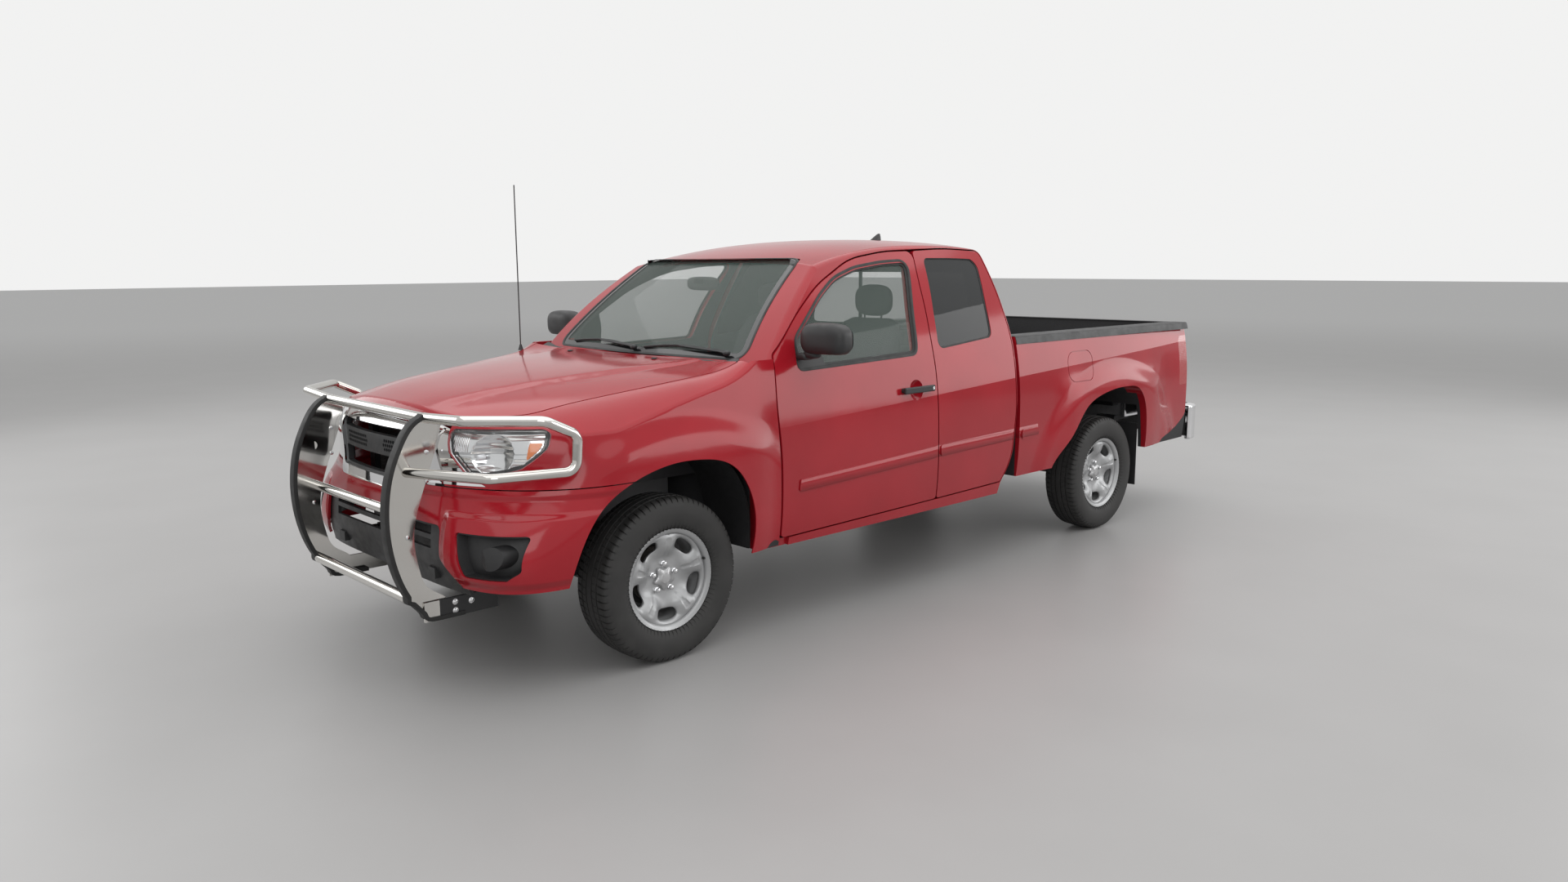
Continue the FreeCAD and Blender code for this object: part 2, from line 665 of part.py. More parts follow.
for row in range(3):
    cell_z = mesh_rows[1][0] + row_height * (row + 0.5)
    for column in range(-17, 18):
        cell_x = column * cell + (cell / 2 if row % 2 else 0)
        if abs(cell_x) > 300 or abs(cell_x) < 75:
            continue
        corners = [(cell_x + 7.4 * math.cos(math.radians(turn)), cell_z + 7.4 * math.sin(math.radians(turn)), 0)
                   for turn in range(0, 360, 60)]
        grille_holes.append(prism(rounded_outline(corners, "front", -1000), Vector(0, 500, 0)))
grille = grille.cut(Part.makeCompound(grille_holes))
add_piece("grille", grille)

trim_region = prism(nose_trim_outline, Vector(0, 500, 0)).cut(grille_hole).cut(lamp_hole)
trim_face = front_face.common(box((300, 700), (-1000, -400), (700, 1050)))
nose_trim = trim_face.extrude(Vector(-8, 22, 0)).common(trim_region)
guard_room = trim_face.copy()
guard_room.translate(Vector(0, -5, 0))
guard_room = guard_room.extrude(Vector(0, 60, 0))
add_piece("nose_trims", Part.makeCompound([nose_trim, mirrored(nose_trim)]), 2)

# Front structure: radiator support standing on the rails, and the aprons that carry the fenders

support_back = -520.0
support = box((-600, 600), (-580, support_back), (470.3, 520))
support = support.fuse(box((-600, 600), (-580, support_back), (945, flange_low - 0.3)))
for sign in (1, -1):
    post = box((555, 600), (-580, support_back), (470.3, 980))
    apron = box((545, 560), (support_back - 10, size.cowl_y - 0.3), (690, flange_low - 0.3))
    ledge = box((545, 735), (-480, size.cowl_y - 0.3), (970, flange_low - 0.3))
    side_piece = post.fuse(apron).fuse(ledge)
    support = support.fuse(side_piece if sign > 0 else mirrored(side_piece))
    hinge_post = box((600, 640), (350, 396), (980, 1150))
    lowered_hood = hood.copy()
    lowered_hood.translate(Vector(0, 0, -seat_gap))
    hinge_post = hinge_post.cut(lowered_hood)
    support = support.fuse(hinge_post if sign > 0 else mirrored(hinge_post))
add_piece("front_structure", support)

cowl = field_face(
    lambda x, y: Vector(x, y, hood_z(x, y) - 12), spaced(-745, 745, 21), spaced(405, size.cowl_y - 0.3, 5)
).extrude(Vector(0, 0, -26))
add_piece("cowl", cowl)

inner_arch = arch_prism([(y * 1.012, z + 6) for y, z in wheel_arch_points], 0, 400, 1000)
outer_arch = arch_prism([(y * 1.025, z + 12) for y, z in wheel_arch_points], 0, 560.3, 852)
liner = outer_arch.cut(inner_arch).common(box((500, 1000), (-430, 600), (400, 900)))
add_piece("wheel_arch_liners", Part.makeCompound([liner, mirrored(liner)]), 2)


# Grille guard


def tube(points, radius, bend):
    """A round tube through corner points, each bent by a tangent arc."""
    points = [Vector(*point) for point in points]
    edges = []
    last = points[0]
    for index in range(1, len(points) - 1):
        here = points[index]
        to_before = (points[index - 1] - here).normalize()
        to_after = (points[index + 1] - here).normalize()
        half_angle = to_before.getAngle(to_after) / 2
        reach = bend / math.tan(half_angle)
        middle = here + (to_before + to_after).normalize() * (bend / math.sin(half_angle) - bend)
        edges.append(Part.LineSegment(last, here + to_before * reach).toShape())
        edges.append(Part.Arc(here + to_before * reach, middle, here + to_after * reach).toShape())
        last = here + to_after * reach
    edges.append(Part.LineSegment(last, points[-1]).toShape())
    ring = Part.Wire(Part.Circle(points[0], points[1] - points[0], radius).toShape())
    return Part.Wire(edges).makePipeShell([ring], True, False)


def smooth_edge(points):
    curve = Part.BSplineCurve()
    curve.interpolate(points)
    return curve.toShape()


strip_wide = 38.0
strip_thick = 14.0
plate_thick = 10.0
bracket_gap = 5.3


def guard_upright(x):
    """One bent plate of the guard, with the wide strip along its front edge."""
    reach = -size.guard_reach
    front = [(reach + 190, 1047), (reach + 115, 1012), (reach + 65, 938), (reach + 27, 848), (reach + 5, 748)]
    front += [(reach, 628), (reach + 24, 479), (reach + 75, 361), (reach + 155, 280)]
    back = [(reach + 230, 300), (reach + 221, 346), (reach + 154, 398), (reach + 124, 471), (reach + 111, 606)]
    back += [(reach + 140, 724), (reach + 200, 880), (reach + 236, 1000)]
    low = x - strip_wide / 2
    front_edge_curve = smooth_edge([Vector(low, y, z) for y, z in front])
    back_edge_curve = smooth_edge([Vector(low, y, z) for y, z in back])
    bottom = Part.LineSegment(Vector(low, *front[-1]), Vector(low, *back[0])).toShape()
    top = Part.LineSegment(Vector(low, *back[-1]), Vector(low, *front[0])).toShape()
    outline = Part.Wire([front_edge_curve, bottom, back_edge_curve, top])
    whole = prism(outline, Vector(strip_wide, 0, 0))
    behind = whole.copy()
    behind.translate(Vector(0, strip_thick, 0))
    plate = prism(outline, Vector(plate_thick, 0, 0))
    plate.translate(Vector(strip_wide / 2 + bracket_gap + 1.7 - plate_thick, 0, 0))
    return whole.cut(behind).fuse(plate)


guard_x = size.guard_spacing / 2
guard_left = guard_upright(guard_x).cut(guard_room)
bracket = box((guard_x + bracket_gap, guard_x + 16), (130 - size.guard_reach, -560), (270, 345)).fuse(
    box((guard_x + bracket_gap, guard_x + 16), (-640, -560), (270, 460)))
lamp_loop = tube(
    [(guard_x, -812, 1030), (700, -800, 1042), (905, -600, 1042), (905, -470, 980), (905, -480, 850)]
    + [(800, -760, 845), (guard_x, -895, 840)],
    19, 45,
)
guard = guard_left.fuse(bracket).fuse(lamp_loop)
guard = guard.fuse(mirrored(guard))
for behind, z, radius in ((175, 1030, 19), (85, 365, 21), (85, 680, 19)):
    tube_start = Vector(-guard_x, behind - size.guard_reach, z)
    guard = guard.fuse(Part.makeCylinder(radius, 2 * guard_x, tube_start, Vector(1, 0, 0)))
add_piece("grille_guard", guard)

# Bed

bed_flare_width = 420.0


def bed_side_x(y, z):
    """The bed's side: the cab's profile, swollen over the rear wheel."""
    flare = 22 * (1 - smooth_step(abs(y - size.wheelbase), 420, 660)) * (1 - smooth_step(z, 840, 1000))
    return side_half_width(z) - 5 - 26 * max(0.0, (y - 3000) / 1200.0) ** 2 + flare


def bed_side_slab(inset, depth):
    face = field_face(
        lambda y, z: Vector(bed_side_x(y, z) - inset, y, z), spaced(2200, 4300, 36), spaced(380, 1260, 18)
    )
    return face.extrude(Vector(-depth, 0, 0))


bed_low = 452.0
bed_slab = bed_side_slab(0, 1900)
bed_block = common(
    box((-950, 950), (size.bed_front_y, size.bed_back_y), (bed_low, size.bed_rail)), bed_slab, mirrored(bed_slab)
)
bed_wall_y = size.bed_front_y + 45
half_inside = size.bed_inside / 2
tailgate_half = half_inside + 15
tailgate_y = size.bed_back_y - size.tailgate_thick
bed = bed_block.cut(box((-half_inside, half_inside), (bed_wall_y, 4400), (size.bed_floor_height, 1400)))
bed = bed.cut(box((-845, 845), (bed_wall_y, size.bed_back_y - 60), (0, size.bed_floor_height - 20)))
bed = bed.cut(box((-845, 845), (size.bed_back_y - 100, 4400), (0, 660.3)))
bed = bed.cut(
    box((-tailgate_half - size.shut_gap, tailgate_half + size.shut_gap),
        (tailgate_y - size.shut_gap - 12, 4400), (size.bed_floor_height - 65, 1400))
)
house_half = 470.0
for sign in (1, -1):
    inner = sign * size.wheelhouse_inside / 2
    outer = sign * (half_inside + 10)
    house_wire = rounded_outline(
        [(size.wheelbase - house_half, size.bed_floor_height - 20, 0), (size.wheelbase - house_half + 30, 935, 200),
         (size.wheelbase + house_half - 30, 935, 200),
         (size.wheelbase + house_half, size.bed_floor_height - 20, 0)],
        "side", min(inner, outer))
    bed = bed.fuse(prism(house_wire, Vector(abs(outer - inner), 0, 0)))
rear_arch_points = [(-640, 380), (-620, 455), (-477, 607), (-331, 765), (-141, 833), (20, 851), (130, 851)]
rear_arch_points += [(238, 835)]
rear_arch_points += [(322, 760), (366, 610), (382, 455), (386, 380)]
rear_arch = arch_prism(rear_arch_points, size.wheelbase, size.wheelhouse_inside / 2 + 30, 1000)
bed = bed.cut(rear_arch).cut(mirrored(rear_arch))
sill_posts = [2830, 3850, 4060]
for post_y in sill_posts:
    bed = bed.fuse(box((-550, 550), (post_y - 35, post_y + 35), (660.3, size.bed_floor_height - 19)))
grooves = [box((x - 22, x + 22), (bed_wall_y + 40, tailgate_y - 50), (size.bed_floor_height - 7, 800))
           for x in range(-450, 451, 100)]
bed = bed.cut(Part.makeCompound(grooves))
fuel_door = rounded_outline([(2742, 915, 60), (2742, 1086, 60), (2998, 1086, 60), (2998, 915, 60)])
fuel_ring = through_side(fuel_door).cut(through_side(grown(fuel_door, -4))).common(bed_side_slab(-5, 9))
bed = bed.cut(fuel_ring)
bed_pad = through_side(bed_moulding).common(bed_side_slab(-moulding_proud, moulding_proud + 8))
bed = bed.fuse(bed_pad).fuse(mirrored(bed_pad))
lamp_box = rounded_outline([(4062, 800, 15), (4062, 1110, 40), (4300, 1110, 0), (4300, 800, 0)])
tail_lamp_region = through_side(lamp_box, tailgate_half + size.shut_gap + 12, 1000)
tail_lamp = bed_block.common(
    through_side(grown(lamp_box, -0.3), tailgate_half + size.shut_gap + 12.3, 1000))
bed = bed.cut(tail_lamp_region).cut(mirrored(tail_lamp_region))
add_piece("bed", bed)
add_piece("tail_lamp_left", tail_lamp)
add_piece("tail_lamp_right", mirrored(tail_lamp))

tailgate = box((-tailgate_half, tailgate_half), (tailgate_y, size.bed_back_y),
               (size.bed_floor_height + size.shut_gap, size.bed_rail))
ear = Part.makeCylinder(11, 2 * (tailgate_half + size.shut_gap - 0.3),
                        Vector(-(tailgate_half + size.shut_gap - 0.3), tailgate_y, size.bed_floor_height),
                        Vector(1, 0, 0))
ear = ear.cut(box((-tailgate_half + 60, tailgate_half - 60), (4000, 4400), (600, 900)))
tailgate = tailgate.fuse(ear)
add_piece("tailgate", tailgate)

bumper_plan = [(885, 4215, 20), (870, 4330, 60), (600, size.tail_reach, 150)]
front_of_plan = [(-800, 4215, 0), (-780, 4262, 40), (780, 4262, 40), (800, 4215, 0)]
outer_plan = rounded_outline(symmetric(bumper_plan) + front_of_plan, "plan", 430)
rear_bumper = prism(outer_plan, Vector(0, 0, 225))
bumper_ends = [edge for edge in rear_bumper.Edges if edge.BoundBox.YMin > 4225 and edge.BoundBox.ZLength < 1
               and edge.BoundBox.YMax > 4300]
rear_bumper = rear_bumper.makeFillet(14, bumper_ends)
hollow_half = [(850, 4200, 0), (846, 4318, 50), (590, size.tail_reach - 6, 145)]
hollow_plan = rounded_outline(symmetric(hollow_half), "plan", 400)
rear_bumper = rear_bumper.cut(prism(hollow_plan, Vector(0, 0, 225)))
rear_bumper = rear_bumper.cut(box((-330, 330), (4325, 4420), (612, 700)))
step_floor = box((-334, 334), (4319, size.tail_reach - 3), (604, 612))
step_riser = box((-334, 334), (4319, 4325), (604, 652))
rear_bumper = rear_bumper.fuse(step_floor).fuse(step_riser)
for sign in (1, -1):
    x_low = size.rail_half_spacing + size.rail_width / 2 + 0.3
    arm = box((x_low, x_low + 10), (4130, 4380), (545, 640))
    rear_bumper = rear_bumper.fuse(arm if sign > 0 else mirrored(arm))
add_piece("rear_bumper", rear_bumper)

flap_y = 3603.2
flap = box((648, 845), (flap_y - 6, flap_y), (215, 598))
add_piece("mud_flaps", Part.makeCompound([flap, mirrored(flap)]), 2)

# Chassis


def wheel_place(side, axle):
    x = (size.track_front if axle == "front" else size.track_rear) / 2
    return Vector(x if side == "left" else -x, 0 if axle == "front" else size.wheelbase, size.tyre_radius)


def revolved(points, radii=None):
    """A ring turned about the X axis from (radius, x) corner points with corner radii."""
    wire = rounded_outline([(x, radius, corner) for radius, x, corner in points], "plan")
    return Part.Face(wire).revolve(Vector(0, 0, 0), Vector(1, 0, 0), 360)


def tyre_solid():
    half = size.tyre_width / 2
    outer = size.tyre_radius
    bead = size.rim_radius - 16
    tread_half = half - 22
    return revolved([
        (bead, -size.rim_width / 2 + 12.8, 0), (size.rim_radius + 6, -size.rim_width / 2 + 5, 0), (275, -half, 60),
        (outer - 4, -tread_half - 8, 16), (outer, -50, 0), (outer, 50, 0), (outer - 4, tread_half + 8, 16),
        (275, half, 60), (size.rim_radius + 6, size.rim_width / 2 - 5, 0), (bead, size.rim_width / 2 - 12.8, 0),
    ])


def rim_solid():
    half = size.rim_width / 2
    flange = size.rim_radius
    barrel = flange - 16.3
    ring = revolved([
        (barrel, -half + 12.3, 0), (flange, -half + 6, 0), (flange, -half, 0), (barrel - 6, -half + 4, 0),
        (barrel - 6, -52, 0), (174, -38, 0), (174, 12, 0), (barrel - 6, 30, 0), (barrel - 6, half - 4, 0),
        (flange, half, 0), (flange, half - 6, 0), (barrel, half - 12.3, 0), (barrel, 28, 0),
        (180, 10, 0), (180, -36, 0), (barrel, -50, 0),
    ])
    disc = revolved([
        (0, 8, 0), (0, 46, 0), (34, 46, 0), (40, 34, 0), (72, 20, 0), (84, 22, 0), (112, 46, 12), (156, 40, 10),
        (177, 18, 0), (177, 0, 0), (154, 30, 0), (110, 36, 0), (84, 12, 0), (72, 8, 0),
    ])
    rim = ring.fuse(disc)
    for index in range(5):
        slot = rounded_outline([(-27, 128, 15), (27, 128, 15), (35, 163, 15), (-35, 163, 15)])
        slot.translate(Vector(-10, 0, 0))
        hole = prism(slot, Vector(120, 0, 0))
        hole.rotate(Vector(0, 0, 0), Vector(1, 0, 0), 72 * index)
        rim = rim.cut(hole)
    return rim


tyre_form = tyre_solid()
rim_form = rim_solid()
for axle in ("front", "rear"):
    for side in ("left", "right"):
        here = wheel_place(side, axle)
        for name, form in (("tyre", tyre_form), ("rim", rim_form)):
            wheel_part = form.copy() if side == "left" else mirrored(form)
            wheel_part.translate(here)
            add_piece("%s_%s_%s" % (name, axle, side), wheel_part)

rail_line = [(-640, 470), (-420, 470), (-120, 440), (2330, 440), (2760, 660), (4230, 660)]
rail_radius = 60
rail_points = [(y, z, rail_radius) for y, z in rail_line]
rail_points[0] = (*rail_line[0], 0)
rail_points[-1] = (*rail_line[-1], 0)
rail_points += [(y, z - size.rail_depth, radius) for y, z, radius in reversed(rail_points)]
rail_low = size.rail_half_spacing - size.rail_width / 2
rail = prism(rounded_outline(rail_points, "side", rail_low), Vector(size.rail_width, 0, 0))
frame = rail.fuse(mirrored(rail))
for y, z in ((-560, 430), (120, 340), (2500, 480), (3560, 590), (4190, 600)):
    frame = frame.fuse(box((-rail_low - 5, rail_low + 5), (y - 35, y + 35), (z - 35, z + 35)))
mount_height = size.cab_floor - size.floor_thick - 440
for y in (620, 1300, 2180):
    for x in (-size.rail_half_spacing, size.rail_half_spacing):
        frame = frame.fuse(Part.makeCylinder(32, mount_height + 1, Vector(x, y, 439)))
frame = frame.fuse(box((-rail_low - 5, rail_low + 5), (1400, 1440), (310, 350)))
spare_x = 36.0
spare_y = 3835.0
spare_z = 434.0
frame = frame.fuse(box((-rail_low - 5, rail_low + 5), (spare_y - 30, spare_y + 30), (570, 630)))
frame = frame.fuse(Part.makeCylinder(14, 580 - (spare_z + 26.5), Vector(spare_x, spare_y, spare_z + 26.5)))
add_piece("frame", frame)

kingpin_x = 675.0
arm_low_z = size.tyre_radius - 136
arm_high_z = size.tyre_radius + 128
suspension = box((-330, 330), (-60, 60), (240, 300))
for sign in (1, -1):
    for z in (arm_low_z, arm_high_z):
        arm = box(sorted((sign * 300, sign * kingpin_x)), (-42, 42), (z - 14, z + 14))
        suspension = suspension.fuse(arm)
    tower_x = sorted((sign * 300, sign * 374.7))
    suspension = suspension.fuse(box(tower_x, (-60, 60), (180, 480)))
add_piece("front_suspension", suspension)

hub_face = size.track_front / 2 + 8
for side, sign in (("left", 1), ("right", -1)):
    upright = Part.makeCylinder(26, arm_high_z - arm_low_z - 28.6, Vector(sign * kingpin_x, 0, arm_low_z + 14.3))
    hub = Part.makeCylinder(60, hub_face - 0.3 - 660, Vector(sign * 660, 0, size.tyre_radius), Vector(sign, 0, 0))
    plate = Part.makeCylinder(108, 8, Vector(sign * 690, 0, size.tyre_radius), Vector(sign, 0, 0))
    add_piece("knuckle_" + side, upright.fuse(hub).fuse(plate))

axle_end = size.track_rear / 2 + 8 - 0.3
axle_half_profile = [(0, 0, 0), (140, 0, 0), (140, 60, 50), (46, 190, 60), (42, axle_end, 0), (0, axle_end, 0)]
axle_half = revolved(axle_half_profile)
axle_half.translate(Vector(0, size.wheelbase, size.tyre_radius))
rear_axle = axle_half.fuse(mirrored(axle_half))
spring_top = [(2585, 500, 0), (2900, 432, 900), (size.wheelbase, 412, 1500), (3560, 440, 900), (3875, 515, 0)]
spring_line = spring_top + [(y, z - 32, radius) for y, z, radius in reversed(spring_top)]
for sign in (1, -1):
    drum_start = Vector(sign * (axle_end - 62), size.wheelbase, size.tyre_radius)
    drum = Part.makeCylinder(135, 58, drum_start, Vector(sign, 0, 0))
    spring_x = sign * 520
    spring = prism(rounded_outline(spring_line, "side", spring_x - 30), Vector(60, 0, 0))
    saddle = box((spring_x - 36, spring_x + 36), (size.wheelbase - 60, size.wheelbase + 60), (360, 440))
    rear_axle = rear_axle.fuse(drum).fuse(spring).fuse(saddle)
    for y, z in ((2610, 485), (3850, 505)):
        x_low = size.rail_half_spacing + size.rail_width / 2 + 0.3
        rear_axle = rear_axle.fuse(box((min(sign * x_low, sign * 560), max(sign * x_low, sign * 560)),
                                       (y - 25, y + 25), (z - 30, z + 90)))
add_piece("rear_axle", rear_axle)

shaft_start = Vector(0, 1291.7, 400)
shaft_end = Vector(0, size.wheelbase - 148, size.tyre_radius)
shaft_way = shaft_end - shaft_start
add_piece("driveshaft", Part.makeCylinder(36, shaft_way.Length, shaft_start, shaft_way))

engine = box((-290, 290), (-430, 400), (380, 960)).fuse(box((-150, 150), (390, 780), (320, 620)))
engine = engine.fuse(Part.makeCylinder(110, 520, Vector(0, 770, 420), Vector(0, 1, 0)))
add_piece("engine", engine)
spare_half = size.tyre_width / 2 - 2
spare = revolved([
    (0, 18, 0), (size.rim_radius - 22, 18, 0), (size.rim_radius - 10, -spare_half + 40, 0), (275, -spare_half, 60),
    (330, -70, 16), (330, 70, 16), (275, spare_half, 60), (size.rim_radius - 10, spare_half - 40, 0),
    (size.rim_radius - 22, 26, 0), (0, 26, 0),
])
spare.rotate(Vector(0, 0, 0), Vector(0, 1, 0), -90)
spare.translate(Vector(spare_x, spare_y, spare_z))
add_piece("spare_wheel", spare)
exhaust = tube(
    [(-240, 400.3, 412), (-240, 760, 412), (-240, 1100, 385), (-240, 2560, 385), (-300, 2860, 470),
     (-337, 3400, 470), (-337, 4000, 440), (-760, 4105, 425)],
    28, 80)
exhaust = exhaust.fuse(box((-250, -230), (2490, 2510), (400, 444.7)))
add_piece("exhaust", exhaust)
add_piece("fuel_tank", box((70, 374.7), (1460, 2350), (250, 430)))

# Cab inside

dash_low = rounded_outline(
    [(485.3, 700, 0), (485.3, 1075, 0), (810, 1075, 50), (840, 960, 60), (700, 880, 40), (640, 700, 0)],
    "side", -770
)
dash_top = rounded_outline(
    [(505, 1060, 0), (505, 1118, 0), (620, 1135, 60), (800, 1085, 30), (800, 1060, 0)], "side", -600
)
dashboard = prism(dash_low, Vector(1540, 0, 0)).fuse(prism(dash_top, Vector(1200, 0, 0)))


def seat(x):
    """A front seat: cushion, leaning back and headrest, as one plain closed form."""
    low = x - 250
    cushion = box((low, low + 500), (960, 1450), (590, 800))
    back = prism(rounded_outline(
        [(1380, 620, 20), (1560, 620, 20), (1740, 1300, 60), (1640, 1330, 40), (1400, 820, 30)], "side", low),
        Vector(500, 0, 0))
    head = box((x - 130, x + 130), (1650, 1740), (1290, 1480))
    legs = box((x - 150, x + 150), (1000, 1400), (size.cab_floor + 0.3, 600))
    return cushion.fuse(back).fuse(head).fuse(legs)


seat_x = 375.0
add_piece("seat_left", seat(seat_x))
add_piece("seat_right", seat(-seat_x))

column_way = Vector(0, math.cos(math.radians(25)), math.sin(math.radians(25)))
wheel_middle = Vector(seat_x, 985, 1010)
column_radius = 28.0
dashboard = dashboard.cut(Part.makeCylinder(column_radius + 0.8, 400, wheel_middle, column_way * -1))
add_piece("dashboard", dashboard)
wheel_ring = Part.makeTorus(185, 15, Vector(0, 0, 0), Vector(0, 0, 1))
wheel_hub = Part.makeCylinder(60, 40, Vector(0, 0, -30))
spokes = box((-180, 180), (-22, 22), (-12, 4)).fuse(box((-22, 22), (-180, 0), (-12, 4)))
column = Part.makeCylinder(column_radius, 190, Vector(0, 0, -210))
steering_wheel = wheel_ring.fuse(wheel_hub).fuse(spokes).fuse(column)
steering_wheel.Placement = Placement(wheel_middle, Rotation(Vector(0, 0, 1), column_way))
steering_wheel = steering_wheel.copy()
add_piece("steering_wheel", steering_wheel)

mirror_box = box((905, 1115), (650, 762), (1168, 1332))
front_edges = [edge for edge in mirror_box.Edges if edge.BoundBox.YMax < 651]
mirror_body = mirror_box.makeFillet(42, front_edges)
side_edges = [edge for edge in mirror_body.Edges if edge.BoundBox.YLength > 40 and edge.BoundBox.XLength < 1
              and edge.BoundBox.ZLength < 1]
mirror_body = mirror_body.makeFillet(24, side_edges) if side_edges else mirror_body
mirror_glass_recess = box((919, 1101), (757, 800), (1182, 1318))
mirror_body = mirror_body.cut(mirror_glass_recess)
mirror_arm = box((830, 950), (668, 712), (1180, 1216))
mirror_arm = mirror_arm.makeFillet(12, [edge for edge in mirror_arm.Edges if edge.BoundBox.XLength > 50])
mirror = mirror_body.fuse(mirror_arm).cut(side_solid(-seat_gap, 400))
add_piece("mirror_left", mirror)
add_piece("mirror_right", mirrored(mirror))

jump_seat = box((90, 600), (2164, size.cab_back_y - 45.3), (620, 1140))
jump_seat = jump_seat.makeFillet(16, [edge for edge in jump_seat.Edges if edge.BoundBox.YMax < 2165])
add_piece("jump_seats", Part.makeCompound([jump_seat, mirrored(jump_seat)]), 2)
antenna = Part.makeCylinder(3, 820, Vector(-800, 320, 1150)).fuse(Part.makeCone(14, 5, 30, Vector(-800, 320, 1148)))
antenna_seat = field_face(
    lambda x, y: Vector(x, y, hood_z(x, y) + 0.7), spaced(-900, -700, 7), spaced(200, 440, 5)
).extrude(Vector(0, 0, -200))
add_piece("antenna", antenna.cut(antenna_seat))

doc.recompute()
os.makedirs("parts", exist_ok=True)
for piece in parts:
    if "Invalid" in piece.State or "Error" in piece.State or piece.Shape.isNull() or not piece.Shape.isValid():
        raise RuntimeError("faulty piece: " + piece.Label)
for piece in parts:
    piece.Shape.exportStep("parts/%s.step" % piece.Label)
print("pieces:", len(parts))
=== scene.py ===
# Extended-cab pickup truck with a grille guard: looks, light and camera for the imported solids.
# Metres. +X is the vehicle's left, +Y its rear, +Z up, and the ground is z = 0. A length along the
# vehicle that is measured from the front axle gets axle_y added once, where the piece is placed.
import json
import math

import bmesh
import bpy
import numpy as np
from mathutils import Matrix, Vector
from mathutils.bvhtree import BVHTree


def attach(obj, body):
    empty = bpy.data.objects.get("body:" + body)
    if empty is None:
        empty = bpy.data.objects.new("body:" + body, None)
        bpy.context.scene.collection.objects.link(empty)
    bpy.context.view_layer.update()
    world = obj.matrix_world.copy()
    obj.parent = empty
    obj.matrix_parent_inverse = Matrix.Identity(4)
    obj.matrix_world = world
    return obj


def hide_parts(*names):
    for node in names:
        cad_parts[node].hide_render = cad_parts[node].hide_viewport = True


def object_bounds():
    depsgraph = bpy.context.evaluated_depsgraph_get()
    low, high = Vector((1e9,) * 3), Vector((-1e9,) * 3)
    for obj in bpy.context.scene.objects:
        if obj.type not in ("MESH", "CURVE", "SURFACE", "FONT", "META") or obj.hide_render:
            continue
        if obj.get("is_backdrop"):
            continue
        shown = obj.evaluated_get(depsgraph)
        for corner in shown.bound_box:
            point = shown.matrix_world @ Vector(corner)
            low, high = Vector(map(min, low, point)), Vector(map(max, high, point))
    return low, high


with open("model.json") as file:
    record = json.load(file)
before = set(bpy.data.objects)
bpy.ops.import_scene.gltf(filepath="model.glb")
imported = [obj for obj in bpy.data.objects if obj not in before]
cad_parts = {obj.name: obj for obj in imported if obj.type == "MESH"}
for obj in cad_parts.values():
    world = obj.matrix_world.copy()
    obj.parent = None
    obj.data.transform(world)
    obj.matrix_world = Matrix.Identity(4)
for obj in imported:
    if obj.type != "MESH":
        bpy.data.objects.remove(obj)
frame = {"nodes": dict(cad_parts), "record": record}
cad_low, cad_high = [list(corner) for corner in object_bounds()]
nodes = frame["nodes"]
axle_y = -1.710

# Camera
# The photograph's view: its place, turn and lens were found from the wheels, the ground and the
# body's edges.

camera_place = Vector((4.222418, -2.635170 + axle_y, 1.576036))
yaw, pitch, roll = 0.8070842, 0.1582065, -0.0053295
focal_pixels, photo_width = 1361.4082, 1920


def placed(name, data):
    """An object at the origin that shows the data, linked to the scene."""
    thing = bpy.data.objects.new(name, data)
    bpy.context.scene.collection.objects.link(thing)
    return thing


ahead = Vector((-math.sin(yaw) * math.cos(pitch), math.cos(yaw) * math.cos(pitch), -math.sin(pitch)))
right = ahead.cross(Vector((0, 0, 1))).normalized()
up = right.cross(ahead)
turned_right = math.cos(roll) * right + math.sin(roll) * up
turned_up = -math.sin(roll) * right + math.cos(roll) * up
camera_data = bpy.data.cameras.new("photo_camera")
camera_data.sensor_width = 36.0
camera_data.lens = focal_pixels / photo_width * camera_data.sensor_width
camera_data.clip_start, camera_data.clip_end = 0.05, 300.0
camera = placed("photo_camera", camera_data)
camera_turn = Matrix((turned_right, turned_up, -ahead)).transposed().to_4x4()
camera.matrix_world = Matrix.Translation(camera_place) @ camera_turn
bpy.context.scene.camera = camera

# Stage and light
# A plain pale studio floor that pales with distance into an even backdrop, one wide softbox
# overhead, a long one beside the truck's left, one at the front left and a weak fill on the right.


class Value:
    """A node's output. Arithmetic on it adds Math nodes to its material."""

    def __init__(self, look, socket):
        self.look = look
        self.socket = socket

    def math(self, operation, other=0.0, swapped=False):
        """A Math node on this value and another, which comes first when swapped."""
        pair = (other, self) if swapped else (self, other)
        return self.look.add("ShaderNodeMath", {0: pair[0], 1: pair[1]}, operation=operation)

    def __add__(self, other):
        return self.math("ADD", other)

    def __sub__(self, other):
        return self.math("SUBTRACT", other)

    def __rsub__(self, other):
        return self.math("SUBTRACT", other, swapped=True)

    def __mul__(self, other):
        return self.math("MULTIPLY", other)

    def __truediv__(self, other):
        return self.math("DIVIDE", other)

    def __lt__(self, other):
        return self.math("LESS_THAN", other)

    def __gt__(self, other):
        return self.math("GREATER_THAN", other)

    def __abs__(self):
        return self.math("ABSOLUTE")

    __radd__ = __add__
    __rmul__ = __mul__

    def least(self, other):
        """The lesser of the two."""
        return self.math("MINIMUM", other)

    def most(self, other):
        """The greater of the two."""
        return self.math("MAXIMUM", other)

    def far(self, other):
        """The length of the line with these two parts."""
        return (self * self + other * other).math("SQRT")

    def wave(self, length):
        """From -1 to 1 and back over each length."""
        return (self * (2 * math.pi / length)).math("SINE")

    def ramp(self, low, high, start=0.0, end=1.0):
        """start below low, end above high and a smooth way between."""
        limits = {"Value": self, "From Min": low, "From Max": high, "To Min": start, "To Max": end}
        return self.look.add("ShaderNodeMapRange", limits, interpolation_type="SMOOTHSTEP")


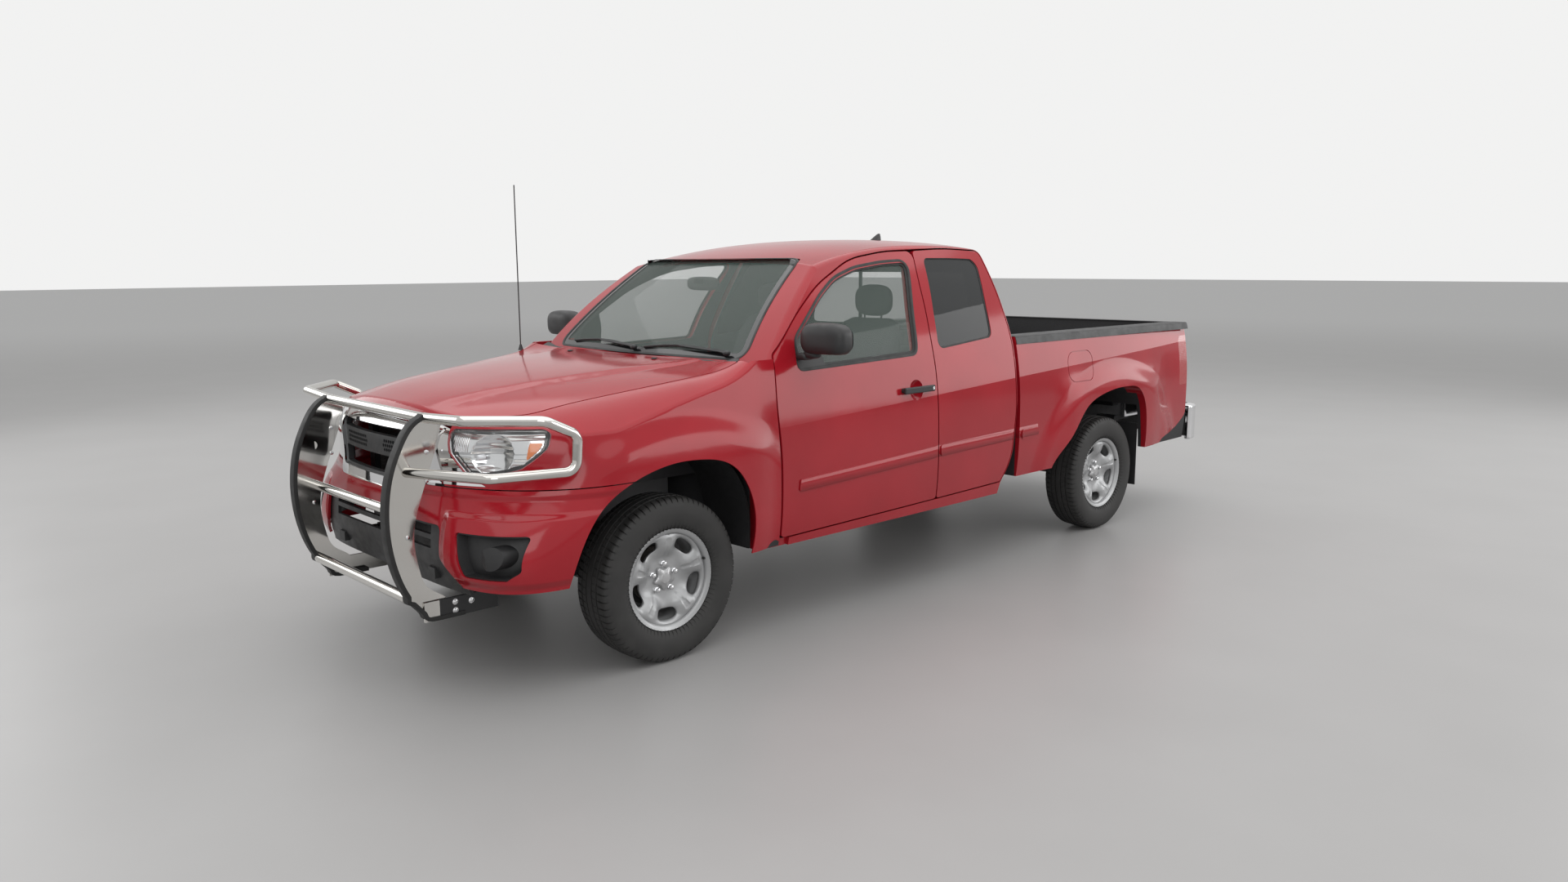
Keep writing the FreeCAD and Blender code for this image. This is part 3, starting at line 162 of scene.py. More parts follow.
class Look:
    """A material round one Principled shader, with nodes added by their type's name."""

    def __init__(self, name, colour, roughness, metallic=0.0, **sockets):
        self.material = bpy.data.materials.new(name)
        self.material.use_nodes = True
        self.tree = self.material.node_tree
        self.shader = self.tree.nodes["Principled BSDF"]
        self.set("Base Color", colour)
        self.set("Roughness", roughness)
        self.set("Metallic", metallic)
        for socket, value in sockets.items():
            self.set(socket.replace("_", " "), value)
        self.material.diffuse_color = tuple(self.shader.inputs["Base Color"].default_value)

    def put(self, target, value):
        """Links a node's output to a socket, or sets the socket's own number or colour."""
        if isinstance(value, Value):
            self.tree.links.new(value.socket, target)
        elif isinstance(value, (tuple, list)) and len(value) == 3 and target.type == "RGBA":
            target.default_value = (*value, 1.0)
        else:
            target.default_value = value

    def set(self, socket, value):
        """Links or sets one of the shader's own sockets."""
        self.put(self.shader.inputs[socket], value)

    def add(self, kind, inputs=None, output=0, **properties):
        """Adds a node, links or sets its inputs and returns one of its outputs."""
        node = self.tree.nodes.new(kind)
        for key, value in properties.items():
            setattr(node, key, value)
        for key, value in (inputs or {}).items():
            self.put(node.inputs[key], value)
        return Value(self, node.outputs[output])

    def place(self):
        """Object coordinates, which are metres of the vehicle's frame."""
        return self.add("ShaderNodeTexCoord", output="Object")

    def axis(self, index, source=None):
        """One part of a vector, or of the place."""
        split = self.add("ShaderNodeSeparateXYZ", {0: source or self.place()})
        return Value(self, split.socket.node.outputs[index])

    def where(self):
        """The distance from the vehicle's middle plane, the place along it and the height."""
        return abs(self.axis(0)), self.axis(1), self.axis(2)

    def facing(self, index):
        """The surface normal's own part along an axis."""
        return self.axis(index, self.add("ShaderNodeTexCoord", output="Normal"))

    def noise(self, scale, detail=3.0):
        """Cloudy noise, from 0 to 1, with about so many clouds a metre."""
        inputs = {"Vector": self.place(), "Scale": scale, "Detail": detail}
        return self.add("ShaderNodeTexNoise", inputs)

    def blend(self, share, first, second):
        """A colour between two, by share."""
        return self.add("ShaderNodeMix", {0: share, 6: first, 7: second}, output=2, data_type="RGBA")

    def bump(self, height, strength=1.0, distance=1.0):
        """Shades the surface as if height stood out by distance. The height is in metres where the
        distance is 1."""
        inputs = {"Height": height, "Strength": strength, "Distance": distance}
        self.set("Normal", self.add("ShaderNodeBump", inputs))


floor_half = 90.0
floor_look = Look("studio_floor", (0.45, 0.45, 0.45), 0.42)
floor_far = floor_look.axis(0).far(floor_look.axis(1))
floor_tone = floor_look.blend(floor_look.noise(1.4, 4.0), (0.315, 0.310, 0.308), (0.355, 0.350, 0.348))
floor_colour = floor_look.blend(floor_far.ramp(3.0, 30.0), floor_tone, (0.52, 0.52, 0.52))
floor_look.set("Base Color", floor_colour)
floor_look.set("Roughness", floor_far.ramp(5.0, 20.0, 0.38, 0.9))
floor_mesh = bpy.data.meshes.new("studio_floor")
floor_corners = [(x * floor_half, y * floor_half, 0) for x, y in ((-1, -1), (1, -1), (1, 1), (-1, 1))]
floor_mesh.from_pydata(floor_corners, [], [(0, 1, 2, 3)])
floor_mesh.materials.append(floor_look.material)
placed("studio_floor", floor_mesh)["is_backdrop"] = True


def softbox(name, place, target, width, height, power):
    """A rectangle of light at a place, turned to the target."""
    data = bpy.data.lights.new(name, "AREA")
    data.shape = "RECTANGLE"
    data.size, data.size_y = width, height
    data.energy = power
    light = placed(name, data)
    light.location = place
    light.rotation_mode = "QUATERNION"
    light.rotation_quaternion = (Vector(target) - Vector(place)).to_track_quat("-Z", "Y")


softbox("overhead_box", (0.5, -0.5, 6.5), (0.3, -0.3, 0.5), 13.0, 15.0, 560)
softbox("side_box", (6.2, 6.2, 3.3), (0.6, 0.2, 1.3), 9.5, 3.6, 230)
softbox("front_left_box", (6.5, -6.5, 3.8), (0, -0.8, 0.9), 4.5, 3.0, 85)
softbox("right_fill", (-7.5, -4.5, 3.5), (0, -0.5, 0.8), 5.0, 3.0, 90)
lighting_strength, seen_strength = 0.72, 0.90
studio = bpy.data.worlds.new("studio")
bpy.context.scene.world = studio
studio.use_nodes = True
backdrop = studio.node_tree.nodes["Background"]
backdrop.inputs[0].default_value = (0.985, 0.985, 0.98, 1)
ray = studio.node_tree.nodes.new("ShaderNodeLightPath")
level = studio.node_tree.nodes.new("ShaderNodeMapRange")
level.inputs["To Min"].default_value = lighting_strength
level.inputs["To Max"].default_value = seen_strength
studio.node_tree.links.new(ray.outputs["Is Camera Ray"], level.inputs["Value"])
studio.node_tree.links.new(level.outputs[0], backdrop.inputs[1])
bpy.context.scene.view_settings.view_transform = "Standard"

# Painted body
# Deep red paint under a hard gloss on pressed steel: cab, doors, fenders, hood, bumper, bed and
# tailgate. Inside the cab and the bed the same panels carry grey trim and a black liner.

wheelbase = 3.236
red = (0.345, 0.0105, 0.0190)
red_deep = (0.300, 0.0085, 0.0155)
trim_colour = (0.060, 0.060, 0.064)
liner_colour = (0.020, 0.020, 0.021)
panel_depth = 0.030
door_front, cab_back = axle_y + 0.53, axle_y + 2.236
wheel_height = 0.336
flare_long, flare_high, flare_rise = 0.74, 0.60, 0.024
shoulder_start, shoulder_height, shoulder_climb = 0.62, 0.90, 0.05
moulding_front, moulding_back, moulding_half, moulding_rise = 0.648, 2.447, 0.0285, 0.010
glass_foot, glass_lean = 1.3861, 0.462


def body_half(z):
    """Half the body's width by height: sill, waist and glass as three straight lines, the least of
    them."""
    return (z * 0.07 + 0.8434).least(z * -0.097 + 0.9737).least(z * -glass_lean + glass_foot)


def flare(look, centre):
    """A pressed shoulder round a wheel arch, 24 mm high: an ellipse in height and length, whose
    band from 0.93 to 1.16 of its size rises towards the wheel."""
    along = (look.axis(1) - (axle_y + centre)) / flare_long
    high = (look.axis(2) - wheel_height) / flare_high
    return along.far(high).ramp(0.93, 1.16, flare_rise, 0.0)


def side_relief(look):
    """The side's long soft edge, which climbs by 50 mm a metre: the panel turns in above it and
    under below it. With it a rounded face 10 mm high on the raised moulding: one less the square of
    the height from its middle line."""
    y, z = look.axis(1) - axle_y, look.axis(2)
    above = z - (y - shoulder_start) * shoulder_climb - shoulder_height
    shoulder = above.most(0.0) * -0.07 + above.least(0.0) * 0.05
    middle = ((y - 0.643) * 0.0388 + 0.637).least((y - 1.60) * 0.020 + 0.674)
    off = (z - middle) / moulding_half
    round_face = (1 - off * off).most(0.0) * (y > moulding_front) * (y < moulding_back)
    return shoulder + round_face * moulding_rise


def paint(name, inside=None, inside_colour=trim_colour, relief=None):
    """Red paint; inside is a mask, from 0 to 1, of what is trimmed, and relief a pressed height."""
    look = Look(name, red, 0.14, Specular_IOR_Level=0.42)
    colour = look.blend(look.noise(2.2, 4.0).ramp(0.35, 0.7), red_deep, red)
    rough = look.noise(900.0, 1.0).ramp(0.3, 0.8, 0.10, 0.17)
    outside = 1.0
    if inside:
        mask = inside(look)
        outside = 1 - mask
        grain = look.noise(160.0, 3.0).ramp(0.3, 0.8, 0.62, 0.80)
        worn = look.blend(look.noise(5.0, 4.0), inside_colour, tuple(1.25 * c for c in inside_colour))
        colour = look.blend(mask, colour, worn)
        rough = rough * outside + grain * mask
    look.set("Base Color", colour)
    look.set("Roughness", rough)
    if relief:
        look.bump(relief(look) * outside)
    return look.material


def cab_inside(look):
    """Faces well behind the side's own surface, apart from the roof's and pillars' outside, with the
    firewall towards the wheels."""
    x, y, z = look.where()
    deep = x < body_half(z) - panel_depth
    between = (y > door_front) * (y < cab_back)
    outer_top = (look.facing(2) > 0.25) * (z > 1.14 + (y > axle_y + 2.05) * 0.30)
    wheel_side = (x < 0.800) * (y < axle_y + 0.50) * (z < 1.12)
    return (deep * between * (1 - outer_top)).most(wheel_side)


# The grey trim covers the door's inner panel, which is real trim, and also the frame's inner faces,
# which are body colour on the truck: there it is painted shade.
def door_inside(look):
    """Faces well behind the outer skin, and all that face the cabin."""
    facing_cabin = look.axis(0) * look.facing(0) < -0.30
    return facing_cabin.most(abs(look.axis(0)) < body_half(look.axis(2)) - panel_depth)


def bed_inside(look):
    """The load space inside the outer skin, from the floor up, and all that is behind the outer skin
    below it."""
    x, y, z = look.where()
    load = (x < 0.805) * (z > 0.715) * (y > axle_y + 2.295)
    return load.most((x < 0.866) * (z < 0.79))


def tailgate_inside(look):
    """The tailgate's inner face and the edges round it."""
    x, y, z = look.where()
    return (y < axle_y + 4.125) * (look.facing(1) < 0.5) * (x < 0.7405)


def fender_inside(look):
    """The fender's own inner side round the wheel."""
    x, y, z = look.where()
    behind = y > axle_y
    return (x < 0.838 + behind * 0.028) * (z < 0.94) * (y > axle_y - 0.40) * (y < axle_y + 0.60)


def bumper_relief(look):
    """A raised panel round the fog opening and a shelf along the top edge."""
    x, y, z = look.where()
    panel = x.ramp(0.505, 0.535) * z.ramp(0.430, 0.462) * z.ramp(0.672, 0.700, 1.0, 0.0)
    return panel.most(z.ramp(0.735, 0.760) * 0.7) * 0.010


def bed_relief(look):
    """The rear wheel's flare on top of the side's own relief."""
    return flare(look, wheelbase) + side_relief(look)


red_paint = paint("red_paint")
door_paint = paint("red_paint_door", door_inside, relief=side_relief)
paints = {
    "cab": paint("red_paint_cab", cab_inside),
    "bed": paint("red_paint_bed", bed_inside, liner_colour, bed_relief),
    "fender": paint("red_paint_fender", fender_inside, liner_colour, lambda look: flare(look, 0.02)),
    "door": door_paint,
    "access": door_paint,
    "front": paint("red_paint_bumper", relief=bumper_relief),
    "tailgate": paint("red_paint_tailgate", tailgate_inside, liner_colour),
}

# Plain finishes
# Moulded plastic, bare and painted steel, cast iron, rubber, cloth and glass, each with a fine grain
# and a slightly uneven colour.


def finish(name, colour, roughness, metallic=0.0, grain=0.0, scale=300.0, uneven=0.82, **sockets):
    """A moulded or rolled surface: two noises vary its colour and roughness, a third is its grain."""
    look = Look(name, colour, roughness, metallic, **sockets)
    darker = tuple(channel * uneven for channel in colour)
    look.set("Base Color", look.blend(look.noise(3.0, 5.0).ramp(0.3, 0.75), darker, colour))
    rough = look.noise(24.0, 4.0).ramp(0.25, 0.8, roughness * 0.85, min(1.0, roughness * 1.15))
    look.set("Roughness", rough)
    if grain:
        look.bump(look.noise(scale, 2.0), grain, 0.0006)
    return look.material


def pane(name, colour, alpha, gloss=0.5):
    """Tinted glass: seen through by its alpha, with a hard clear surface."""
    look = Look(name, colour, 0.02, 0.0, Alpha=alpha, Specular_IOR_Level=gloss)
    look.set("Base Color", look.blend(look.noise(0.8, 2.0), colour, tuple(0.8 * c for c in colour)))
    look.material.surface_render_method = "BLENDED"
    return look.material


black_plastic = finish("black_plastic", (0.021, 0.021, 0.022), 0.5, grain=0.5)
gloss_black = finish("gloss_black", (0.012, 0.012, 0.013), 0.16, Coat_Weight=0.6)
black_steel = finish("black_steel", (0.024, 0.024, 0.026), 0.48, grain=0.3, scale=60.0)
rubber = finish("rubber", (0.017, 0.017, 0.017), 0.6, grain=0.4, scale=220.0)
wheel_paint = finish("wheel_paint", (0.42, 0.425, 0.43), 0.40, 0.5, grain=0.10, scale=500.0)
bright_steel = finish("bright_steel", (0.74, 0.74, 0.75), 0.16, 1.0, uneven=0.94)
chrome = finish("chrome", (0.80, 0.80, 0.81), 0.05, 1.0, uneven=0.97)
cast_iron = finish("cast_iron", (0.13, 0.115, 0.105), 0.7, 0.4, grain=0.8, scale=120.0)
cast_alloy = finish("cast_alloy", (0.30, 0.30, 0.31), 0.55, 0.6, grain=0.6, scale=90.0)
pipe_steel = finish("pipe_steel", (0.33, 0.30, 0.27), 0.5, 0.85, grain=0.3, scale=80.0)
grey_trim = finish("grey_trim", (0.070, 0.070, 0.074), 0.7, grain=0.6, scale=260.0)
seat_fabric = finish("seat_fabric", (0.105, 0.105, 0.112), 0.95, grain=1.0, scale=420.0)
clear_pane = pane("clear_pane", (0.20, 0.25, 0.225), 0.20)
tinted_pane = pane("tinted_pane", (0.040, 0.042, 0.043), 0.90, 0.22)
lamp_pane = pane("lamp_pane", (0.55, 0.57, 0.58), 0.10, 0.9)

# Tail lamps
# Red ribbed acrylic with a clear reversing window across the lower third of the rear face.

lens_red, lens_clear = (0.36, 0.006, 0.008), (0.62, 0.58, 0.58)
rib_pitch = 0.008
tail_lens = Look("tail_lens", lens_red, 0.10, Coat_Weight=1.0, Coat_Roughness=0.02)
tail_height = tail_lens.axis(2)
tail_window = tail_height.ramp(0.868, 0.872) * tail_height.ramp(0.938, 0.942, 1.0, 0.0)
tail_window = tail_window * (tail_lens.facing(1) > 0.75)
tail_lens.set("Base Color", tail_lens.blend(tail_window, lens_red, lens_clear))
tail_lens.set("Roughness", tail_lens.noise(12.0).ramp(0.2, 0.8, 0.07, 0.14))
tail_lens.bump(tail_height.wave(rib_pitch) * 0.5 + 0.5, 0.4, 0.0008)

# Grille guard
# Polished stainless plate and tube. Its lower brackets are black.

guard_steel = Look("guard_steel", (0.66, 0.645, 0.62), 0.12, 1.0)
guard_x, guard_y, guard_z = guard_steel.where()
bracket_part = (guard_x > 0.4374) * (guard_z < 0.4615) * (guard_y > axle_y - 0.80)
haze = guard_steel.noise(6.0, 4.0)
polished = guard_steel.blend(haze, (0.60, 0.58, 0.545), (0.70, 0.69, 0.665))
guard_steel.set("Base Color", guard_steel.blend(bracket_part, polished, (0.02, 0.02, 0.021)))
guard_steel.set("Metallic", 1 - bracket_part)
guard_steel.set("Roughness", haze.ramp(0.3, 0.8, 0.07, 0.15) + bracket_part * 0.4)

slot_finishes = {
    "body_paint": red_paint, "clear_glass": clear_pane, "dark_glass": tinted_pane,
    "lamp_clear": lamp_pane, "lamp_red": tail_lens.material, "dark_honeycomb": black_plastic,
    "guard_steel": guard_steel.material, "chrome_bumper": chrome, "tyre_rubber": rubber,
    "wheel_silver": wheel_paint, "chassis_black": black_steel, "cast_grey": cast_iron,
    "engine_grey": cast_alloy, "exhaust_steel": pipe_steel, "black_plastic": black_plastic,
    "interior_trim": grey_trim, "seat_cloth": seat_fabric,
}
for subpart in frame["record"]["subparts"]:
    name, slot = subpart["node"], subpart["material_slot"]
    material = slot_finishes[slot]
    if slot == "body_paint":
        material = paints.get(name.split("_")[0], red_paint)
    nodes[name].data.materials.clear()
    nodes[name].data.materials.append(material)

# Tyres
# All-season road tyres of moulded rubber: four straight grooves, slanted shoulder grooves round the
# edge of the tread and two thin rings on a plain sidewall.

sides = (("left", 1), ("right", -1))
wheel_places = [
    ("%s_%s" % (axle, side), (sign * x, y, wheel_height), sign)
    for axle, x, y in (("front", 0.735, axle_y), ("rear", 0.740, axle_y + wheelbase))
    for side, sign in sides
]
groove_middles, groove_width, groove_depth, groove_edge = (0.017, 0.047), 0.0075, 0.0075, 0.0006
shoulder_depth, block_depth, ring_height = 0.0058, 0.006, 0.0007
pitches = 72


def xyz(x, y, z):
    """Points from three parts, each carried over the grid where it is given as less."""
    return np.stack(np.broadcast_arrays(x, y, z), -1)


class Surface:
    """Points and faces gathered from grids and polygons into one mesh."""

    def __init__(self):
        self.points = []
        self.faces = []
        self.count = 0

    def add(self, points):
        """Keeps the points that the faces just added stand on."""
        self.points.append(points.reshape(-1, 3))
        self.count += len(self.points[-1])
        return self

    def grid(self, points, closed_rows=False, closed_columns=False, mask=None):
        """Quads over a grid of rows by columns of points, joined round where a way is closed. With a
        mask, only those whose four corners are all in it."""
        points = np.asarray(points, float)
        rows, columns = points.shape[:2]
        row = np.arange(rows if closed_rows else rows - 1)
        column = np.arange(columns if closed_columns else columns - 1)
        r, c = np.meshgrid(row, column, indexing="ij")
        r2, c2 = (r + 1) % rows, (c + 1) % columns
        quads = np.stack([r * columns + c, r2 * columns + c, r2 * columns + c2, r * columns + c2], -1)
        if mask is not None:
            quads = quads[mask[r, c] & mask[r2, c] & mask[r2, c2] & mask[r, c2]]
        self.faces += (quads.reshape(-1, 4) + self.count).tolist()
        return self.add(points)

    def polygon(self, points):
        """One face over all the points in their order."""
        self.faces.append(list(range(self.count, self.count + len(points))))
        return self.add(np.asarray(points, float))

    def tube(self, points):
        """Closed rows of points joined to one another, with both ends shut."""
        return self.grid(points, closed_columns=True).polygon(points[0][::-1]).polygon(points[-1])

    def mirrored(self):
        """Adds the same faces on the vehicle's other side."""
        points = np.concatenate(self.points) * (-1, 1, 1)
        self.faces += [[i + self.count for i in reversed(face)] for face in self.faces]
        return self.add(points)

    def on_side(self, sign):
        """The shape, or its image on the vehicle's other side where sign is -1."""
        self.points = [points * (sign, 1, 1) for points in self.points]
        return self

    def made(self, name, body, material, slot=None, sharp=40.0, recalculated=True):
        """The mesh as an object at the origin that rides on a body."""
        mesh = bpy.data.meshes.new(name)
        mesh.from_pydata(np.concatenate(self.points).tolist(), [], self.faces)
        work = bmesh.new()
        work.from_mesh(mesh)
        bmesh.ops.remove_doubles(work, verts=work.verts, dist=1e-6)
        bmesh.ops.delete(work, geom=[v for v in work.verts if not v.link_faces], context="VERTS")
        if recalculated:
            bmesh.ops.recalc_face_normals(work, faces=work.faces)
        work.to_mesh(mesh)
        work.free()
        mesh.polygons.foreach_set("use_smooth", np.full(len(mesh.polygons), True))
        mesh.set_sharp_from_angle(angle=math.radians(sharp))
        mesh.materials.append(material)
        piece = placed(name, mesh)
        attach(piece, body)
        return piece


def eased(points, steps):
    """A Catmull-Rom curve through the points, with steps stretches between neighbours."""
    p = np.asarray(points, float)
    p = np.concatenate([2 * p[:1] - p[1:2], p, 2 * p[-1:] - p[-2:-1]])
    t = np.linspace(0, 1, steps, endpoint=False)[:, None]
    a, b, c, d = (p[i : len(p) - 3 + i][:, None] for i in range(4))
    bend = (2 * a - 5 * b + 4 * c - d) * t**2 + (3 * b - a - 3 * c + d) * t**3
    curve = 0.5 * (2 * b + (c - a) * t + bend)
    return np.concatenate([curve.reshape(-1, p.shape[1]), p[-2:-1]])


tread = [0.0]
for middle in groove_middles:
    for wall in (middle - groove_width / 2, middle + groove_width / 2):
        tread += [wall - groove_edge, wall + groove_edge]
tread += [0.060, 0.066, 0.074]
crown = [(w, wheel_height - 0.0052 * (w / 0.080) ** 2) for w in tread]
shoulder = [(0.080, 0.3305), (0.0885, 0.3255), (0.0955, 0.3145), (0.1005, 0.300), (0.1032, 0.282)]
bead = [(0.1032, 0.262), (0.0995, 0.240), (0.0930, 0.2235), (0.0870, 0.2140), (0.0838, 0.2105)]
half_profile = np.concatenate([crown, eased(shoulder + bead, 3)])
profile_across = np.concatenate([-half_profile[:0:-1, 0], half_profile[:, 0]])
profile_radius = np.concatenate([half_profile[:0:-1, 1], half_profile[:, 1]])
pitch_start = np.arange(pitches)[:, None] * 2 * np.pi / pitches
pitch_shares = np.array([0.0, 0.38, 0.43, 0.57, 0.62])
tread_turn = (pitch_start + pitch_shares * 2 * np.pi / pitches).ravel()
slant_cut = np.tile([0.0, 0.0, 1.0, 1.0, 0.0], pitches)


def tyre_points(middle, sign):
    """Radius is the profile less the deeper of the straight grooves and the slanted shoulder
    grooves; the shoulder's angle runs ahead with its distance from the middle."""
    w, r = profile_across[:, None], profile_radius[:, None]
    off = np.abs(w)
    in_groove = sum(np.abs(off - groove) < groove_width / 2 for groove in groove_middles)
    shoulder = np.clip((off - 0.053) / 0.003, 0, 1) * np.clip((0.0975 - off) / 0.006, 0, 1)
    blocks = 0.35 * (off < 0.053) * (off > 0.0205)
    slanted = slant_cut * (shoulder * shoulder_depth + blocks * block_depth)
    rings = ring_height * sum(np.exp(-(((r - at) / 0.0016) ** 2)) for at in (0.302, 0.226))
    r = r - np.maximum(in_groove * groove_depth, slanted)
    w = w + np.sign(w) * rings * (off > 0.085)
    lead = 0.035 * np.clip((np.abs(w) - 0.02) / 0.07, 0, 1) * np.sign(w)
    a = tread_turn + sign * lead
    return xyz(middle[0] + w, middle[1] + r * np.cos(a), middle[2] + r * np.sin(a))


tyre_look = Look("tyre_rubber", (0.024, 0.0235, 0.023), 0.7)
tyre_dust = tyre_look.noise(14.0, 5.0)
tyre_tone = tyre_look.blend(tyre_dust.ramp(0.3, 0.8), (0.020, 0.0195, 0.019), (0.034, 0.033, 0.032))
tyre_look.set("Base Color", tyre_tone)
tyre_look.set("Roughness", tyre_dust.ramp(0.2, 0.9, 0.58, 0.82))
tyre_look.bump(tyre_look.noise(420.0, 2.0), 0.35, 0.0005)
for name, middle, sign in wheel_places:
    skin = Surface().grid(tyre_points(middle, sign), True, True)
    tyre = skin.made("tyre_tread_" + name, "wheel_" + name, tyre_look.material, "tyre_rubber", 30)
    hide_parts("tyre_" + name)

# Wheels
# Pressed steel, painted silver: a rolled barrel and a deep face with five broad spokes between five
# windows, held by five zinc nuts round a five-armed cap, and a rubber valve in the well.

cap_paint = finish("cap_paint", (0.48, 0.48, 0.485), 0.32, 0.6, grain=0.08, scale=500.0)
fifth = math.pi / 5
first_spoke = 0.3
nut_circle, valve_circle = 0.05715, 0.1835
window_middle, window_high, window_wide, window_dip = 0.1490, 0.0225, 0.0470, 0.009
ridge_dip, plate_thickness = 0.004, 0.003
cap_radius, cap_arm = 0.0375, 0.0150
barrel_section = [(-0.0717, 0.1907), (-0.0780, 0.2070), (-0.0838, 0.2070), (-0.0800, 0.1847)]
barrel_section += [(-0.0520, 0.1847), (-0.0380, 0.1740), (0.0120, 0.1740), (0.0300, 0.1847)]
barrel_section += [(0.0660, 0.1850), (0.0740, 0.1868), (0.0790, 0.1925), (0.0815, 0.2000)]
barrel_section += [(0.0838, 0.2058), (0.0830, 0.2070), (0.0780, 0.2066), (0.0717, 0.1907)]
barrel_section += [(0.0280, 0.1907), (0.0100, 0.1800), (-0.0360, 0.1800), (-0.0500, 0.1907)]
face_radii = [0.072, 0.084, 0.098, 0.115, 0.135, 0.158, 0.174, 0.1850]
crest_out = [0.0300, 0.0345, 0.0465, 0.0600, 0.0695, 0.0730, 0.0710, 0.0655]
valley_out = [0.0300, 0.0305, 0.0330, 0.0385, 0.0455, 0.0540, 0.0610, 0.0655]
dish = [(0.0300, 0.072), (0.0292, 0.060), (0.0300, 0.046), (0.0300, 0.010)]
nut_foot = [(0.0290, 0.0), (0.0290, 0.0125), (0.0330, 0.0125), (0.0330, 0.0105), (0.0420, 0.0105)]
nut_dome = [(0.0420, 0.0103), (0.0455, 0.0088), (0.0478, 0.005), (0.0485, 0.0)]
stem = [(0.0, 0.0), (0.0, 0.007), (0.010, 0.0055), (0.022, 0.0045), (0.026, 0.004), (0.026, 0.0)]
cap_size = [1.0, 0.985, 0.93, 0.80, 0.60, 0.56, 0.30, 0.0]
cap_out = [0.0310, 0.0375, 0.0415, 0.0455, 0.0480, 0.0500, 0.0512, 0.0515]


def turned(shape, profile, middle, way="x", turns=24, sign=1, start=0.0, ring=False):
    """Adds profile points (along, radius) carried round the axis that a letter names, through
    middle. A ring's profile is closed."""
    profile = np.asarray(profile, float)
    a = start + np.linspace(0, 2 * np.pi, turns, endpoint=False)
    first, second, third = {"x": (0, 1, 2), "y": (1, 2, 0), "z": (2, 0, 1)}[way]
    points = np.empty((len(profile), turns, 3))
    points[..., first] = middle[first] + sign * profile[:, :1]
    points[..., second] = middle[second] + profile[:, 1:] * np.cos(a)
    points[..., third] = middle[third] + profile[:, 1:] * np.sin(a)
    return shape.grid(points, ring, True)


def squared(turn, power):
    """How far a rounded square of half width one reaches: the powers of the turn's cosine and sine,
    added, and their root turned over."""
    return (np.abs(np.cos(turn)) ** power + np.abs(np.sin(turn)) ** power) ** (-1 / power)


def wheel_face():
    """A fifth of the face: a ring of rows from its window's edge to its border. Along the axis it
    runs from valley to crest by half a cosine of the turn, and dips 9 mm round the window."""
    inner, outer = face_radii[0], face_radii[-1]
    span = np.linspace(-1, 1, 21)[:-1]
    rise = (outer - inner) * (span + 1) / 2
    edges = [(fifth, inner + rise), (-span * fifth, outer)]
    edges += [(-fifth, outer - rise), (span * fifth, inner)]
    border = np.concatenate([np.stack(np.broadcast_arrays(*edge), -1) for edge in edges])
    way = np.arctan2((border[:, 1] - window_middle) / 0.042, border[:, 0] / fifth)
    size = squared(way, 3.2)
    high = window_high * size * np.sin(way)
    wide = (window_wide + 0.30 * high) * size * np.cos(way)
    window = np.stack([wide / (window_middle + high), window_middle + high], -1)
    t = np.linspace(0, 1, 13)[:, None]
    share = t**1.3
    turn = window[None, :, 0] * (1 - share) + border[None, :, 0] * share
    r = window[None, :, 1] * (1 - share) + border[None, :, 1] * share
    spoke = 0.5 - 0.5 * np.cos(5 * turn)
    crest = np.interp(r, face_radii, crest_out)
    out = np.interp(r, face_radii, valley_out) * (1 - spoke) + crest * spoke
    ridge = crest - ridge_dip * (spoke > 0.97) * (r < 0.165) * (r > 0.09)
    out = np.minimum(out, ridge) - window_dip * (1 - t) ** 3
    return [np.concatenate(pair) for pair in ((turn[:1], turn), (r[:1], r), (out[:1] - 0.010, out))]


def round_axle(middle, sign, turn, r, out):
    """Points at a turn and a radius round a wheel's axle, standing out along it."""
    return xyz(middle[0] + sign * out, middle[1] + r * np.cos(turn), middle[2] + r * np.sin(turn))


def cap_points(middle, sign):
    """A star: its radius is 37.5 mm with five arms 15 mm longer, between the nuts."""
    a = np.arange(120)[None] * np.pi / 60
    t, out = np.array(cap_size)[:, None], np.array(cap_out)[:, None]
    arm = 0.5 - 0.5 * np.cos(5 * (a - first_spoke))
    r = t * (cap_radius + cap_arm * arm**1.6 * np.clip((t - 0.5) / 0.4, 0, 1))
    return round_axle(middle, sign, a, r, out)


face_turn, face_r, face_out = wheel_face()
for name, middle, sign in wheel_places:
    body = "wheel_" + name
    barrel = turned(Surface(), barrel_section, middle, "x", 96, sign, ring=True)
    barrel_piece = barrel.made("wheel_barrel_" + name, body, wheel_paint, "wheel_silver", 40)
    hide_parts("rim_" + name)
    face, nuts, valve = Surface(), Surface(), Surface()
    for step in range(5):
        turn = face_turn + 2 * fifth * step + first_spoke + fifth
        face.grid(round_axle(middle, sign, turn, face_r, face_out), closed_columns=True)
        turn = 2 * math.pi * step / 5 + first_spoke
        centre = round_axle(middle, sign, turn, nut_circle, 0.0)
        turned(nuts, nut_foot, centre, "x", 6, sign)
        turned(nuts, nut_dome, centre, "x", 12, sign)
    turned(face, dish, middle, "x", 100, sign, first_spoke + fifth)
    face_piece = face.made("wheel_face_" + name, body, wheel_paint, "wheel_silver", 40)
    thick = face_piece.modifiers.new("thickness", "SOLIDIFY")
    thick.thickness, thick.offset = plate_thickness, -1.0
    nuts.made("wheel_nuts_" + name, body, bright_steel, "wheel_silver", 25)
    cap = Surface().grid(cap_points(middle, sign), closed_columns=True)
    cap.made("wheel_cap_" + name, body, cap_paint, "wheel_silver", 35)
    turned(valve, stem, round_axle(middle, sign, first_spoke, valve_circle, 0.055), "x", 10, sign)
    valve.made("valve_" + name, body, rubber, "tyre_rubber")

# Guard strips and bolts
# A black rubber strip is pushed over each plate's front edge from top to foot. Button bolts join
# plate and tube, and three zinc hexagon bolts hold each plate to its black bracket.

